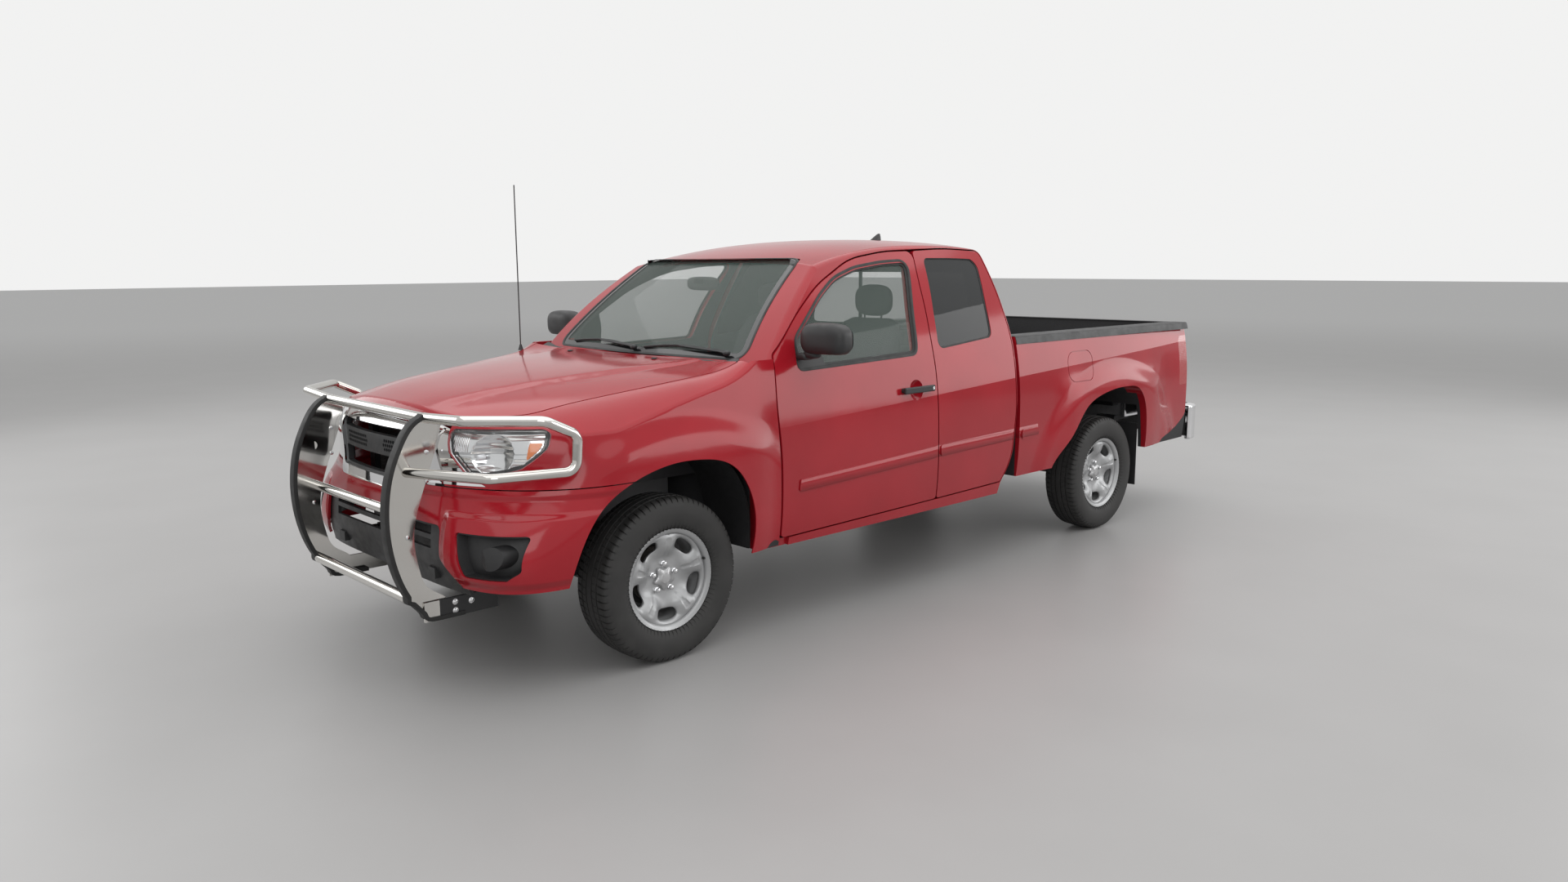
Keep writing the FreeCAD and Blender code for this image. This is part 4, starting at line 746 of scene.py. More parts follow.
plate_middle, strip_half, strip_deep = 0.430, 0.0208, 0.0160
bracket_face, plate_face, plate_inner = 0.446, 0.437, 0.427
bolt_size, bolt_head = 0.0085, 0.006


def vectors(mesh, kind="co"):
    """The places, or the normals, of a mesh's vertices as rows of an array."""
    rows = np.empty(len(mesh.vertices) * 3)
    mesh.vertices.foreach_get(kind, rows)
    return rows.reshape(-1, 3)


def skin_of(name):
    """A search tree over a solid's surface, to lay small pieces on it."""
    mesh = nodes[name].data
    faces = [list(polygon.vertices) for polygon in mesh.polygons]
    return BVHTree.FromPolygons(vectors(mesh).tolist(), faces)


def landed(skin, starts, ways):
    """Where rays first meet a skin: points, outward normals and a mask of the rays that met it."""
    starts = np.asarray(starts, float)
    ways = np.broadcast_to(np.asarray(ways, float), starts.shape)
    flat = zip(starts.reshape(-1, 3).tolist(), ways.reshape(-1, 3).tolist())
    hits = [skin.ray_cast(Vector(start), Vector(way)) for start, way in flat]
    mask = np.array([hit[0] is not None for hit in hits]).reshape(starts.shape[:-1])
    points = np.array([hit[0] or (0, 0, 0) for hit in hits], float).reshape(starts.shape)
    normals = np.array([hit[1] or (0, 0, 1) for hit in hits], float).reshape(starts.shape)
    normals[(normals * ways).sum(-1) > 0] *= -1
    return points, normals, mask


def unit(rows):
    """Each row divided by its length."""
    return rows / np.linalg.norm(rows, axis=1, keepdims=True)


def swept(path, out, section, closed=False):
    """A section (across, out) carried along a path. Out is the surface's normal along it, and
    across is square to both the path and the normal."""
    path, out, section = (np.asarray(part, float) for part in (path, out, section))
    along = np.roll(path, -1, 0) - np.roll(path, 1, 0) if closed else np.gradient(path, axis=0)
    along = unit(along)
    out = unit(out - (out * along).sum(1, keepdims=True) * along)
    side = np.cross(along, out)
    return path[:, None] + side[:, None] * section[None, :, :1] + out[:, None] * section[None, :, 1:]


edge_starts = xyz(plate_middle, -3.2, np.linspace(0.318, 1.045, 86))
edge_points, _, edge_met = landed(skin_of("grille_guard"), edge_starts, (0, 1, 0))
foot = [(-0.700, 0.2688), (-0.770, 0.2688), (-0.825, 0.2695), (-0.848, 0.2740), (-0.8605, 0.2850)]
foot = [(plate_middle, axle_y + y, z) for y, z in foot + [(-0.8665, 0.3010)]]
edge_points = np.concatenate([foot, edge_points[edge_met]])
edge_out = xyz(0.0, -np.gradient(edge_points[:, 2]), np.gradient(edge_points[:, 1]))
strip_section = [(-strip_half, -strip_deep), (-strip_half, -0.003)]
strip_section += [(-0.0200, 0.0001), (-0.0150, 0.0007)]
strip_section += [(-across, out) for across, out in reversed(strip_section)]
strip_points = swept(edge_points, edge_out, strip_section)
strip_points[..., 1] = np.maximum(strip_points[..., 1], cad_low[1])
strips = Surface().tube(strip_points).mirrored()
strips.made("guard_rubber_strips", "chassis", rubber, "black_plastic")

washer = [(0.0, 0.0), (0.0, bolt_size * 1.35), (0.0015, bolt_size * 1.35), (0.0015, 0.0)]
hexagon = [(0.0015, bolt_size), (bolt_head * 0.85, bolt_size)]
hexagon += [(bolt_head, bolt_size * 0.85), (bolt_head, 0.0)]
button = [(0.0, 0.0090), (0.0027, 0.0081), (0.0045, 0.0045), (0.00495, 0.0)]
bolts = Surface()
for y, z in ((-0.738, 0.326), (-0.738, 0.293), (-0.672, 0.318)):
    turned(bolts, washer, (bracket_face, axle_y + y, z), "x", 16)
    turned(bolts, hexagon, (bracket_face, axle_y + y, z), "x", 6)
for y, z in ((-0.815, 0.905), (-0.820, 0.800), (-0.905, 0.600)):
    turned(bolts, button, (plate_face, axle_y + y, z), "x", 14)
    turned(bolts, button, (plate_inner, axle_y + y, z), "x", 14, -1)
bolts.mirrored().made("guard_bolts", "chassis", bright_steel, "guard_steel")

# Headlamps
# A clear lens over a bright reflector: one deep bowl with its bulb, a ribbed indicator at the inner
# end, an amber side reflector at the outer end, and a black gasket all round.

lamp_pivot, lamp_reach = (0.45, -2.12), 0.6
bowl_middle, bowl_radius, bowl_depth = (0.645, 0.898), 0.074, 0.036
reflector_gap, gasket_gap, amber_gap = 0.014, 0.004, 0.006
bulb_y = -2.405
capsule = [(0.0, 0.0), (0.001, 0.007), (0.006, 0.011), (0.022, 0.011), (0.030, 0.0095), (0.034, 0.0)]


def worn_edge(mask, steps):
    """The mask drawn in by a number of grid steps."""
    for _ in range(steps):
        inner = np.zeros_like(mask)
        beside = mask[1:-1, :-2] & mask[1:-1, 2:]
        inner[1:-1, 1:-1] = mask[1:-1, 1:-1] & mask[:-2, 1:-1] & mask[2:, 1:-1] & beside
        mask = inner
    return mask


lamp_turns = np.radians(np.linspace(-90, -8, 190))
height, turn = np.meshgrid(np.linspace(0.818, 0.996, 100), lamp_turns, indexing="ij")
outward = xyz(np.cos(turn), np.sin(turn), 0.0)
lamp_start = xyz(*lamp_pivot, height) + lamp_reach * outward
lens, _, on_lamp = landed(skin_of("headlamp_left"), lamp_start, -outward)
lens_x, lens_z = lens[..., 0], lens[..., 2]
bowl_far = np.hypot(lens_x - bowl_middle[0], lens_z - bowl_middle[1]) / bowl_radius
bowl = np.clip(1 - bowl_far**2, 0, 1)
lamp_inner = worn_edge(on_lamp, 3)
gasket_part = lamp_inner & ~worn_edge(on_lamp, 8)
amber_part = (lens_x > 0.752) & (lens_z < 0.945) & worn_edge(on_lamp, 9)

reflector_look = Look("lamp_reflector", (0.80, 0.81, 0.82), 0.10, 1.0)
reflector_x, _, reflector_z = reflector_look.where()
ribbed = (1 - reflector_x.ramp(0.553, 0.560)) * (reflector_z > 0.905)
facets = (reflector_x.wave(0.007) * ribbed + reflector_z.wave(0.021) * (1 - ribbed) * 0.35) * 0.5 + 0.5
reflector_look.set("Roughness", reflector_look.noise(40.0).ramp(0.3, 0.8, 0.07, 0.16))
reflector_look.bump(facets, 0.7, 0.0018)
amber = finish("amber_lens", (0.80, 0.20, 0.015), 0.14, Coat_Weight=1.0)
bulb_glass = finish("bulb_glass", (0.75, 0.77, 0.80), 0.06, Coat_Weight=1.0)
bowl_gap = reflector_gap + bowl_depth * bowl[..., None]
lamp_sheets = (
    ("reflector", bowl_gap, lamp_inner, reflector_look.material, "chrome_bumper"),
    ("gasket", gasket_gap, gasket_part, gloss_black, "black_plastic"),
    ("amber", amber_gap, amber_part, amber, "lamp_red"),
)
for side, sign in sides:
    for part, gap, mask, material, slot in lamp_sheets:
        sheet = Surface().grid(lens - outward * gap, mask=mask).on_side(sign)
        sheet.made("lamp_%s_%s" % (part, side), "chassis", material, slot, 30, False)
    bulb_at = (sign * (bowl_middle[0] + 0.004), bulb_y, bowl_middle[1])
    bulb = turned(Surface(), capsule, bulb_at, "y", 18, -1)
    bulb.made("lamp_bulb_" + side, "chassis", bulb_glass, "lamp_clear")

# Radiator
# A black core of fine fins between two tanks, seen through the grille and the air opening.

radiator_look = Look("radiator_fins", (0.030, 0.030, 0.031), 0.55, 0.5)
fins = radiator_look.axis(2).wave(0.006) * 0.5 + 0.5
# Painted shade: the colour darkens in the grooves between the fins and lightens on their crests.
radiator_look.set("Base Color", radiator_look.blend(fins, (0.012, 0.012, 0.012), (0.06, 0.06, 0.062)))
radiator_look.bump(fins, 0.8, 0.002)


def rounded_box(shape, low, high, radius):
    """Adds a box with rounded edges: a sphere of the radius whose eight parts are moved out to the
    corners, as a grid of ten rows by twenty columns."""
    low, high = np.asarray(low, float), np.asarray(high, float)
    radius = min(radius, 0.49 * float((high - low).min()))
    middle, half = (low + high) / 2, (high - low) / 2 - radius
    v = np.radians([-90, -67.5, -45, -22.5, 0, 0, 22.5, 45, 67.5, 90])[:, None]
    u = np.radians([0, 22.5, 45, 67.5, 90, 90, 112.5, 135, 157.5, 180])
    u = np.concatenate([u, u + np.pi])
    direction = xyz(np.cos(v) * np.cos(u), np.cos(v) * np.sin(u), np.sin(v))
    column = np.arange(20)
    ahead_or_back = np.where((column < 5) | (column >= 15), 1.0, -1.0)
    low_or_high = np.where(np.arange(10) < 5, -1.0, 1.0)[:, None]
    corner = xyz(ahead_or_back, np.where(column < 10, 1.0, -1.0), low_or_high)
    return shape.tube(middle + corner * half + direction * radius)


def boxes(*rows):
    """One shape of rounded boxes, each given by its two corners and its edges' radius."""
    shape = Surface()
    for low, high, radius in rows:
        rounded_box(shape, low, high, radius)
    return shape


radiator = boxes(((-0.50, -2.288, 0.525), (0.50, -2.262, 0.940), 0.003))
radiator.made("radiator_core", "chassis", radiator_look.material, "chassis_black")

# Under the hood
# A black plastic cover on the engine, the battery and the air box on trays held by the inner
# aprons, a pale coolant bottle and the brake booster bolted to the firewall.

engine_cover = boxes(((-0.190, -2.060, 0.959), (0.190, -1.560, 0.984), 0.008))
for x in (-0.13, -0.065, 0.0, 0.065, 0.13):
    rounded_box(engine_cover, (x - 0.012, -2.030, 0.980), (x + 0.012, -1.590, 0.989), 0.003)
engine_cover.made("engine_cover", "chassis", black_plastic, "black_plastic", 35)

battery = boxes(
    ((0.330, -2.115, 0.840), (0.5465, -1.845, 0.850), 0.003),
    ((0.345, -2.100, 0.848), (0.515, -1.860, 0.968), 0.006),
    ((0.348, -2.097, 0.966), (0.512, -1.863, 0.980), 0.005),
)
for y in (-2.060, -1.900):
    turned(battery, [(0.0, 0.009), (0.012, 0.008), (0.0125, 0.0)], (0.480, y, 0.978), "z", 16)
battery.made("battery", "chassis", gloss_black, "black_plastic", 35)

air_box = boxes(
    ((-0.5465, -2.115, 0.840), (-0.330, -1.845, 0.850), 0.003),
    ((-0.515, -2.105, 0.848), (-0.340, -1.870, 0.915), 0.012),
    ((-0.519, -2.109, 0.913), (-0.336, -1.866, 0.921), 0.003),
    ((-0.512, -2.102, 0.919), (-0.343, -1.873, 0.972), 0.014),
    ((-0.350, -2.025, 0.885), (-0.285, -1.955, 0.950), 0.020),
)
air_box.made("air_box", "chassis", black_plastic, "black_plastic", 35)

pale_plastic = finish("pale_plastic", (0.55, 0.55, 0.50), 0.45, grain=0.2)
bottle = boxes(((-0.5465, -1.640, 0.860), (-0.425, -1.440, 1.005), 0.020))
bottle.made("coolant_bottle", "chassis", pale_plastic, "interior_trim", 40)

cab_skin = skin_of("cab_shell")
booster_x, booster_z = 0.415, 0.970
firewall_y = landed(cab_skin, [(booster_x, -1.9, booster_z)], (0, 1, 0))[0][0, 1]
booster_shape = [(0.002, 0.0), (0.0, 0.100), (-0.018, 0.108), (-0.040, 0.114), (-0.046, 0.114)]
booster_shape += [(-0.052, 0.108), (-0.082, 0.085), (-0.090, 0.045), (-0.092, 0.022)]
booster_shape += [(-0.190, 0.021), (-0.192, 0.0)]
booster = turned(Surface(), booster_shape, (booster_x, firewall_y, booster_z), "y", 40)
rounded_box(booster, (0.385, firewall_y - 0.170, 0.985), (0.445, firewall_y - 0.085, 1.045), 0.010)
booster.made("brake_booster", "chassis", black_steel, "chassis_black", 40)

# Window rubbers
# Extruded black seals round each pane: a wide one in the front doors' frames, thin ones round the
# other panes, and a fired black border inside the edges of the windshield and the rear window.

door_glass_lean = 0.46
wide_seal = [(-0.013, 0.0005), (-0.013, 0.0040), (-0.004, 0.0062), (-0.001, 0.0132), (0.007, 0.0152)]
wide_seal += [(0.012, 0.0146), (0.012, 0.0125), (0.001, 0.0120), (-0.001, 0.0050), (-0.006, 0.0005)]
thin_seal = [(-0.007, 0.0005), (-0.006, 0.0030), (0.001, 0.0045), (0.006, 0.0045), (0.007, 0.0005)]
border = [(-0.034, 0.0004), (-0.010, 0.0005), (0.001, 0.0006)]


def rim_of(name, direction):
    """The closed edge of a solid's faces that look along a direction: its points in order and the
    faces' normals there. Turned so that cross(along, normal) points away from the pane."""
    work = bmesh.new()
    work.from_mesh(nodes[name].data)
    bmesh.ops.remove_doubles(work, verts=work.verts, dist=1e-5)
    direction = Vector(direction).normalized()
    chosen = dict.fromkeys(face for face in work.faces if face.normal.dot(direction) > 0.5)
    follow, normal = {}, {}
    for face in chosen:
        for loop in face.loops:
            vertex = loop.vert
            normal[vertex] = normal.get(vertex, Vector()) + face.normal * face.calc_area()
            if sum(other in chosen for other in loop.edge.link_faces) == 1:
                follow.setdefault(vertex, loop.link_loop_next.vert)
    longest = []
    while follow:
        start, ring = next(iter(follow)), []
        while start in follow:
            ring.append(start)
            start = follow.pop(start)
        longest = max(longest, ring, key=len)
    points = np.array([vertex.co for vertex in longest], float)
    normals = np.array([normal[vertex].normalized() for vertex in longest], float)
    work.free()
    return points, normals


def even_ring(points, normals, count):
    """A closed ring taken again at even steps of its length, each point then halfway to the middle
    of its neighbours."""
    closed = np.concatenate([points, points[:1]])
    way = np.concatenate([normals, normals[:1]])
    far = np.concatenate([[0.0], np.cumsum(np.linalg.norm(np.diff(closed, axis=0), axis=1))])
    at = np.linspace(0, far[-1], count, endpoint=False)
    ring, out = (xyz(*(np.interp(at, far, row) for row in rows.T)) for rows in (closed, way))
    return (np.roll(ring, 1, 0) + 2 * ring + np.roll(ring, -1, 0)) / 4, out


def seal_round(name, direction, section, piece_name, body, material=rubber, count=150, solid=True):
    """A section carried round a pane's edge, with its first points over the glass."""
    ring, out = even_ring(*rim_of(name, direction), count)
    band = swept(ring, out, section, closed=True)
    first, half_way = (
        np.linalg.norm(band[:, step] - ring.mean(0), axis=1).mean() for step in (0, len(section) // 2)
    )
    if first > half_way:
        band = swept(ring[::-1], out[::-1], section, closed=True)
    shape = Surface().grid(band, closed_rows=True, closed_columns=solid)
    shape.made(piece_name, body, material, "black_plastic", 35, solid)


for side, sign in sides:
    door, access = "front_door_" + side, "access_door_" + side + "_body"
    leaning = (sign, 0, door_glass_lean)
    seal_round("glass_front_" + side, leaning, wide_seal, "front_glass_seal_" + side, door)
    seal_round("glass_access_" + side, leaning, thin_seal, "access_glass_seal_" + side, access)
for pane_name, facing, count in (("windshield", (0, -1, 1), 220), ("rear_window", (0, 1, 0), 180)):
    seal_round(pane_name, facing, thin_seal, pane_name + "_seal", "chassis", count=count)
    seal_round(pane_name, facing, border, pane_name + "_border", "chassis", gloss_black, count, False)

# Sliding rear window
# Two upright bars hold the middle pane, over a thin strip along its foot.

bars = Surface()
for x in (-0.205, 0.205):
    rounded_box(bars, (x - 0.011, 0.5155, 1.200), (x + 0.011, 0.5262, 1.556), 0.002)
rounded_box(bars, (-0.20, 0.5235, 1.200), (0.20, 0.5262, 1.212), 0.001)
bars.made("rear_window_bars", "chassis", black_plastic, "black_plastic")

# Door mirrors
# A black moulded shell with a flat foot, a silvered glass in its rear face, a short arm, and a
# three-cornered plate in the front corner of the side glass that carries it.

silvered = finish("silvered_glass", (0.62, 0.65, 0.67), 0.03, 1.0, uneven=0.97)
mirror_middle, mirror_size = (0.988, -1.001, 1.262), (0.126, 0.058, 0.0695)
mirror_foot, mirror_back = 1.203, -0.9495
plate_recess, plate_thick = 0.003, 0.008
plate_front = [(-1.041, 1.127), (-1.036, 1.180), (-1.022, 1.245), (-0.985, 1.282), (-0.943, 1.315)]
plate_rear = [(-0.866, 1.127), (-0.878, 1.180), (-0.895, 1.245), (-0.912, 1.282), (-0.930, 1.318)]


def pillow(shape, middle, half, power, rows=32, columns=48, low=(-9, -9, -9), high=(9, 9, 9)):
    """Adds a closed rounded form |x/a|^p + |y/b|^p + |z/c|^p = 1, cut flat by a box."""
    v = np.linspace(-np.pi / 2, np.pi / 2, rows)[:, None]
    u = np.arange(columns) * 2 * np.pi / columns
    way = xyz(np.cos(v) * np.cos(u), np.cos(v) * np.sin(u), np.sin(v))
    size = (np.abs(way) ** power).sum(-1, keepdims=True) ** (-1 / power)
    points = np.clip(np.asarray(middle) + way * np.asarray(half, float) * size, low, high)
    return shape.grid(points, closed_columns=True)


def side_sheet():
    """A sheet on the side glass's leaning plane, ruled between two eased edges of (y, z)."""
    front, rear = eased(plate_front, 6), eased(plate_rear, 6)
    t = np.linspace(0, 1, 24)[:, None, None]
    y, z = np.moveaxis(front * (1 - t) + rear * t, -1, 0)
    outer = xyz(glass_foot - glass_lean * z - plate_recess, y, z)
    inner = outer - np.array([plate_thick, 0, 0])
    shape = Surface().grid(outer).grid(inner[:, ::-1])
    edges = [(outer[0], inner[0]), (inner[-1], outer[-1])]
    edges += [(inner[:, 0], outer[:, 0]), (outer[:, -1], inner[:, -1])]
    for pair in edges:
        shape.grid(np.stack(pair, 1))
    return shape


glass_turn = np.arange(48) * np.pi / 24
glass_reach = np.linspace(0.0, 1.0, 8)[:, None] * squared(glass_turn, 3.4)
reach_x, reach_z = glass_reach * np.cos(glass_turn), glass_reach * np.sin(glass_turn)
mirror_face = xyz(mirror_middle[0] + 0.106 * reach_x, -0.9488, 1.260 + 0.055 * reach_z)
for side, sign in sides:
    body = "front_door_" + side
    shell_low, shell_high = (0, -9, mirror_foot), (9, mirror_back, 9)
    housing = pillow(Surface(), mirror_middle, mirror_size, 3.2, low=shell_low, high=shell_high)
    rounded_box(housing, (0.845, -1.046, 1.172), (0.905, -0.984, 1.202), 0.013)
    pillow(housing, (0.918, -1.012, 1.197), (0.040, 0.030, 0.018), 2.6, 12, 24)
    housing.on_side(sign)
    piece = housing.made("mirror_housing_" + side, body, black_plastic, "black_plastic", 32)
    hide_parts("mirror_" + side)
    face = Surface().grid(mirror_face, closed_columns=True).on_side(sign)
    face.made("mirror_glass_" + side, body, silvered, "chrome_bumper", 30)
    plate = side_sheet().on_side(sign)
    plate.made("mirror_plate_" + side, body, black_plastic, "black_plastic", 30)

# Wipers and washers
# Two black pressed arms lie along the foot of the windshield with their rubber blades, and two
# nozzles stand on the hood.

glass_skin, hood_skin = skin_of("windshield"), skin_of("hood")
blade_lift, arm_lift, arm_reach = 0.0075, 0.0155, 0.55
blade_section = [(-0.003, -0.0072), (-0.005, 0.0), (-0.002, 0.004)]
blade_section += [(-across, out) for across, out in reversed(blade_section)]
arm_section = np.array([(-1, -0.3), (-0.8, 0.35), (0.8, 0.35), (1, -0.3)])


def on_windshield(x, z, lift):
    """Points that stand off the windshield by lift, and its normals there."""
    points, normals, _ = landed(glass_skin, xyz(x, -2.0, z), (0, 1, 0))
    return points + normals * lift, normals


wipers = Surface()
for pivot_x, tip_x in ((0.600, 0.060), (-0.010, -0.560)):
    t = np.linspace(0, 1, 24)
    x = pivot_x - 0.03 + (tip_x - pivot_x + 0.03) * t
    blade, out = on_windshield(x, 1.196 + 0.016 * np.sin(np.pi * t), blade_lift)
    wipers.tube(swept(blade, out, blade_section))
    t = np.linspace(0, arm_reach, 12)
    arm, out = on_windshield(pivot_x + (tip_x - pivot_x) * t, 1.1935 + 0.014 * t / arm_reach, arm_lift)
    arm[0] += (0.012, -0.010, -0.004)
    half = np.linspace(0.0085, 0.0045, 12)[:, None, None]
    out = unit(out)
    across = np.cross(unit(np.gradient(arm, axis=0)), out)
    spread = arm_section[None, :, :1] * across[:, None] + arm_section[None, :, 1:] * out[:, None]
    wipers.tube(arm[:, None] + half * spread)
    pillow(wipers, arm[0] + (0.004, 0.0, -0.002), (0.016, 0.014, 0.011), 2.6, 10, 20)
wipers.made("wipers", "chassis", black_plastic, "black_plastic", 35)

nozzles = Surface()
for x in (-0.33, 0.33):
    spot = landed(hood_skin, [(x, -1.400, 1.5)], (0, 0, -1))[0][0]
    pillow(nozzles, spot + (0, 0, 0.002), (0.011, 0.013, 0.0055), 2.5, 10, 18)
nozzles.made("washer_nozzles", "hood", black_plastic, "black_plastic", 35)

# Roof fin
# A small black moulded blade on the roof's middle line, swept back.

fin_foot, _, _ = landed(cab_skin, [(0, axle_y + 2.07, 2.2), (0, axle_y + 2.17, 2.2)], (0, 0, -1))
t = np.linspace(0, 1, 14)[:, None]
turn = np.arange(20) * 2 * np.pi / 20
fin_length = (0.105 * (1 - t) ** 0.85 + 0.014 * t) / 2
fin_width = 0.0170 * (1 - t) ** 0.7 + 0.0018
fin_middle = axle_y + 2.120 + 0.036 * t**1.1
fin_height = fin_foot[:, 2].mean() - 0.002 + 0.050 * t
fin = Surface().tube(xyz(fin_width * np.cos(turn), fin_middle + fin_length * np.sin(turn), fin_height))
fin.made("roof_fin", "chassis", black_plastic, "black_plastic", 40)

# Door locks
# A bright key cylinder at the rear end of each front door's handle.

lock_x, lock_y, lock_z = 0.9168, -0.1905, 0.9880
lock = [(0.0, 0.0), (0.0, 0.0068), (0.0012, 0.0066), (0.0016, 0.0050), (0.0010, 0.0040), (0.0012, 0.0)]
for side, sign in sides:
    disc = turned(Surface(), lock, (lock_x * sign, lock_y, lock_z), "x", 20, sign)
    disc.made("door_lock_" + side, "front_door_" + side, bright_steel, "chrome_bumper")

# Bed rails and liner
# Black moulded caps over the bed's rails, its front wall and the tailgate's top, 3 mm thick, with
# their outer lip lapped over the red side.

bed_skin = skin_of("bed")
rail_front, rail_narrows, rail_back = 0.5685, 2.392, 2.4585
narrow_inner = 0.7485
rail_z = np.array([1.152, 1.160, 1.170, 1.180, 1.187])
rail_side = landed(bed_skin, xyz(1.3, 1.2, rail_z), (-1, 0, 0))[0][:, 0] + 0.0028
outer_x = rail_side[-1]
wall_x = landed(bed_skin, [(0.3, 1.2, 1.17)], (1, 0, 0))[0][0, 0]
rail_section = list(zip(rail_side, rail_z))
rail_section += [(outer_x - 0.003, 1.1920), (outer_x - 0.010, 1.1938), (wall_x + 0.006, 1.1938)]
rail_section += [(wall_x - 0.001, 1.1930), (wall_x - 0.0035, 1.1890), (wall_x - 0.0035, 1.150)]
rail_section += [(wall_x - 0.0008, 1.150), (wall_x + 0.002, 1.1903), (outer_x - 0.012, 1.1905)]
rail_section += [(rail_side[0] - 0.003, 1.152)]
rail_section = np.array(rail_section)
narrow_section = np.maximum(rail_section, (narrow_inner, 0))


def extruded(shape, section, front, back):
    """Adds a closed (x, z) section carried from front to back, with both ends closed."""
    return shape.tube(np.stack([xyz(section[:, 0], y, section[:, 1]) for y in (front, back)]))


rails = extruded(Surface(), rail_section, rail_front, rail_narrows)
extruded(rails, narrow_section, rail_narrows, rail_back).mirrored()
front_top = landed(bed_skin, [(0.0, 0.572, 1.6)], (0, 0, -1))[0][0, 2]
front_y = landed(bed_skin, [(0.0, 1.6, 1.1)], (0, -1, 0))[0][0, 1]
cap_low, cap_high = (-wall_x, 0.5665, front_top - 0.0005), (wall_x, front_y + 0.003, front_top + 0.0035)
rounded_box(rails, cap_low, cap_high, 0.0015)
rails.made("bed_rail_caps", "chassis", black_plastic, "black_plastic", 30)

gate_cap = boxes(((-0.7385, 2.4015, 1.1885), (0.7385, rail_back, 1.1935), 0.002))
gate_cap.made("tailgate_cap", "tailgate", black_plastic, "black_plastic", 30)

# Tailgate handle
# A black moulded bezel with a pull lever over a shallow hand space, set on the tailgate's skin.

gate_y = landed(skin_of("tailgate"), [(0.0, 3.0, 1.05)], (0, -1, 0))[0][0, 1]
handle_turn = np.arange(56) * 2 * np.pi / 56
bezel_half, bezel_height, bezel_middle = 0.118, 0.046, 1.055
inward = np.array([0.0, 0.0, 0.005, 0.012, 0.016, 0.016])[:, None]
outward = np.array([0.0, 0.004, 0.0065, 0.0065, 0.0025, 0.0])[:, None]
bezel_x = (bezel_half - inward) * squared(handle_turn, 6) * np.cos(handle_turn)
bezel_z = (bezel_height - inward) * squared(handle_turn, 6) * np.sin(handle_turn)
bezel = xyz(bezel_x, gate_y + outward, bezel_middle + bezel_z)
pull = Surface().grid(bezel, closed_rows=True, closed_columns=True)
rounded_box(pull, (-0.088, gate_y + 0.0002, 1.060), (0.088, gate_y + 0.0085, 1.086), 0.004)
rounded_box(pull, (-0.100, gate_y + 0.0001, 1.022), (0.100, gate_y + 0.0012, 1.090), 0.0005)
pull.made("tailgate_pull", "tailgate", black_plastic, "black_plastic", 35)

# Rear bumper
# Chromed steel with ribbed black rubber pads on its two wings and on the lower step between them,
# about 3 mm thick with a rib every 16 mm.

rib_spacing, pad_height, rib_height = 0.016, 0.0031, 0.0008
wing_x, step_x = np.linspace(0.372, 0.800, 108), np.linspace(-0.330, 0.330, 166)
wing_back = 2.686 - 0.62 * np.maximum(0.0, wing_x - 0.640) ** 1.3


def step_pad(shape, across, front, back, level):
    """Adds a pad between two edges. Its height is a mean with a square wave across it: the sign of
    a sine."""
    x, t = np.meshgrid(across, np.linspace(0, 1, 9), indexing="ij")
    rise = pad_height + rib_height * np.sign(np.sin(x * 2 * np.pi / rib_spacing))
    rise[[0, -1]] = 0.0001
    rise[:, [0, -1]] = 0.0001
    return shape.grid(xyz(x, front + (back - front) * t, level + rise))


pads = step_pad(Surface(), wing_x, 2.5835, wing_back[:, None], 0.655).mirrored()
step_pad(pads, step_x, 2.6230, 2.690, 0.612)
pads.made("bumper_step_pads", "chassis", rubber, "black_plastic", 30, False)

# Front seats
# Foam cushions under charcoal woven cloth, with stitched side bolsters, on a moulded base and two
# steel rails. The foam is blown up against its cover by a short cloth simulation.

cloth_look = Look("woven_cloth", (0.10, 0.10, 0.107), 0.93)
yarn = 0.0024
across_weave = cloth_look.axis(0).wave(yarn)
along_weave = (cloth_look.axis(1) + cloth_look.axis(2) * 0.8).wave(yarn)
weave = across_weave * along_weave * 0.5 + 0.5
tone = cloth_look.blend(cloth_look.noise(4.0, 4.0), (0.080, 0.080, 0.086), (0.118, 0.118, 0.125))
cloth_look.set("Base Color", cloth_look.blend(weave * 0.5, tone, (0.055, 0.055, 0.060)))
cloth_look.set("Roughness", cloth_look.noise(30.0).ramp(0.2, 0.8, 0.86, 0.97))
cloth_look.bump(weave, 0.8, 0.0007)
rail_steel = finish("rail_steel", (0.20, 0.20, 0.21), 0.45, 0.8, grain=0.2)
seat_x, seam_place, seam_width, seam_depth = 0.375, 0.150, 0.008, 0.0055
foam_pressure, blown_steps = 4.0, 20


def bolster_seams(points):
    """How deep the seams draw the cover in: two, 150 mm either side of the seat's middle."""
    across = np.abs(np.abs(points[:, 0] - seat_x) - seam_place)
    return seam_depth * np.exp(-((across / seam_width) ** 2))


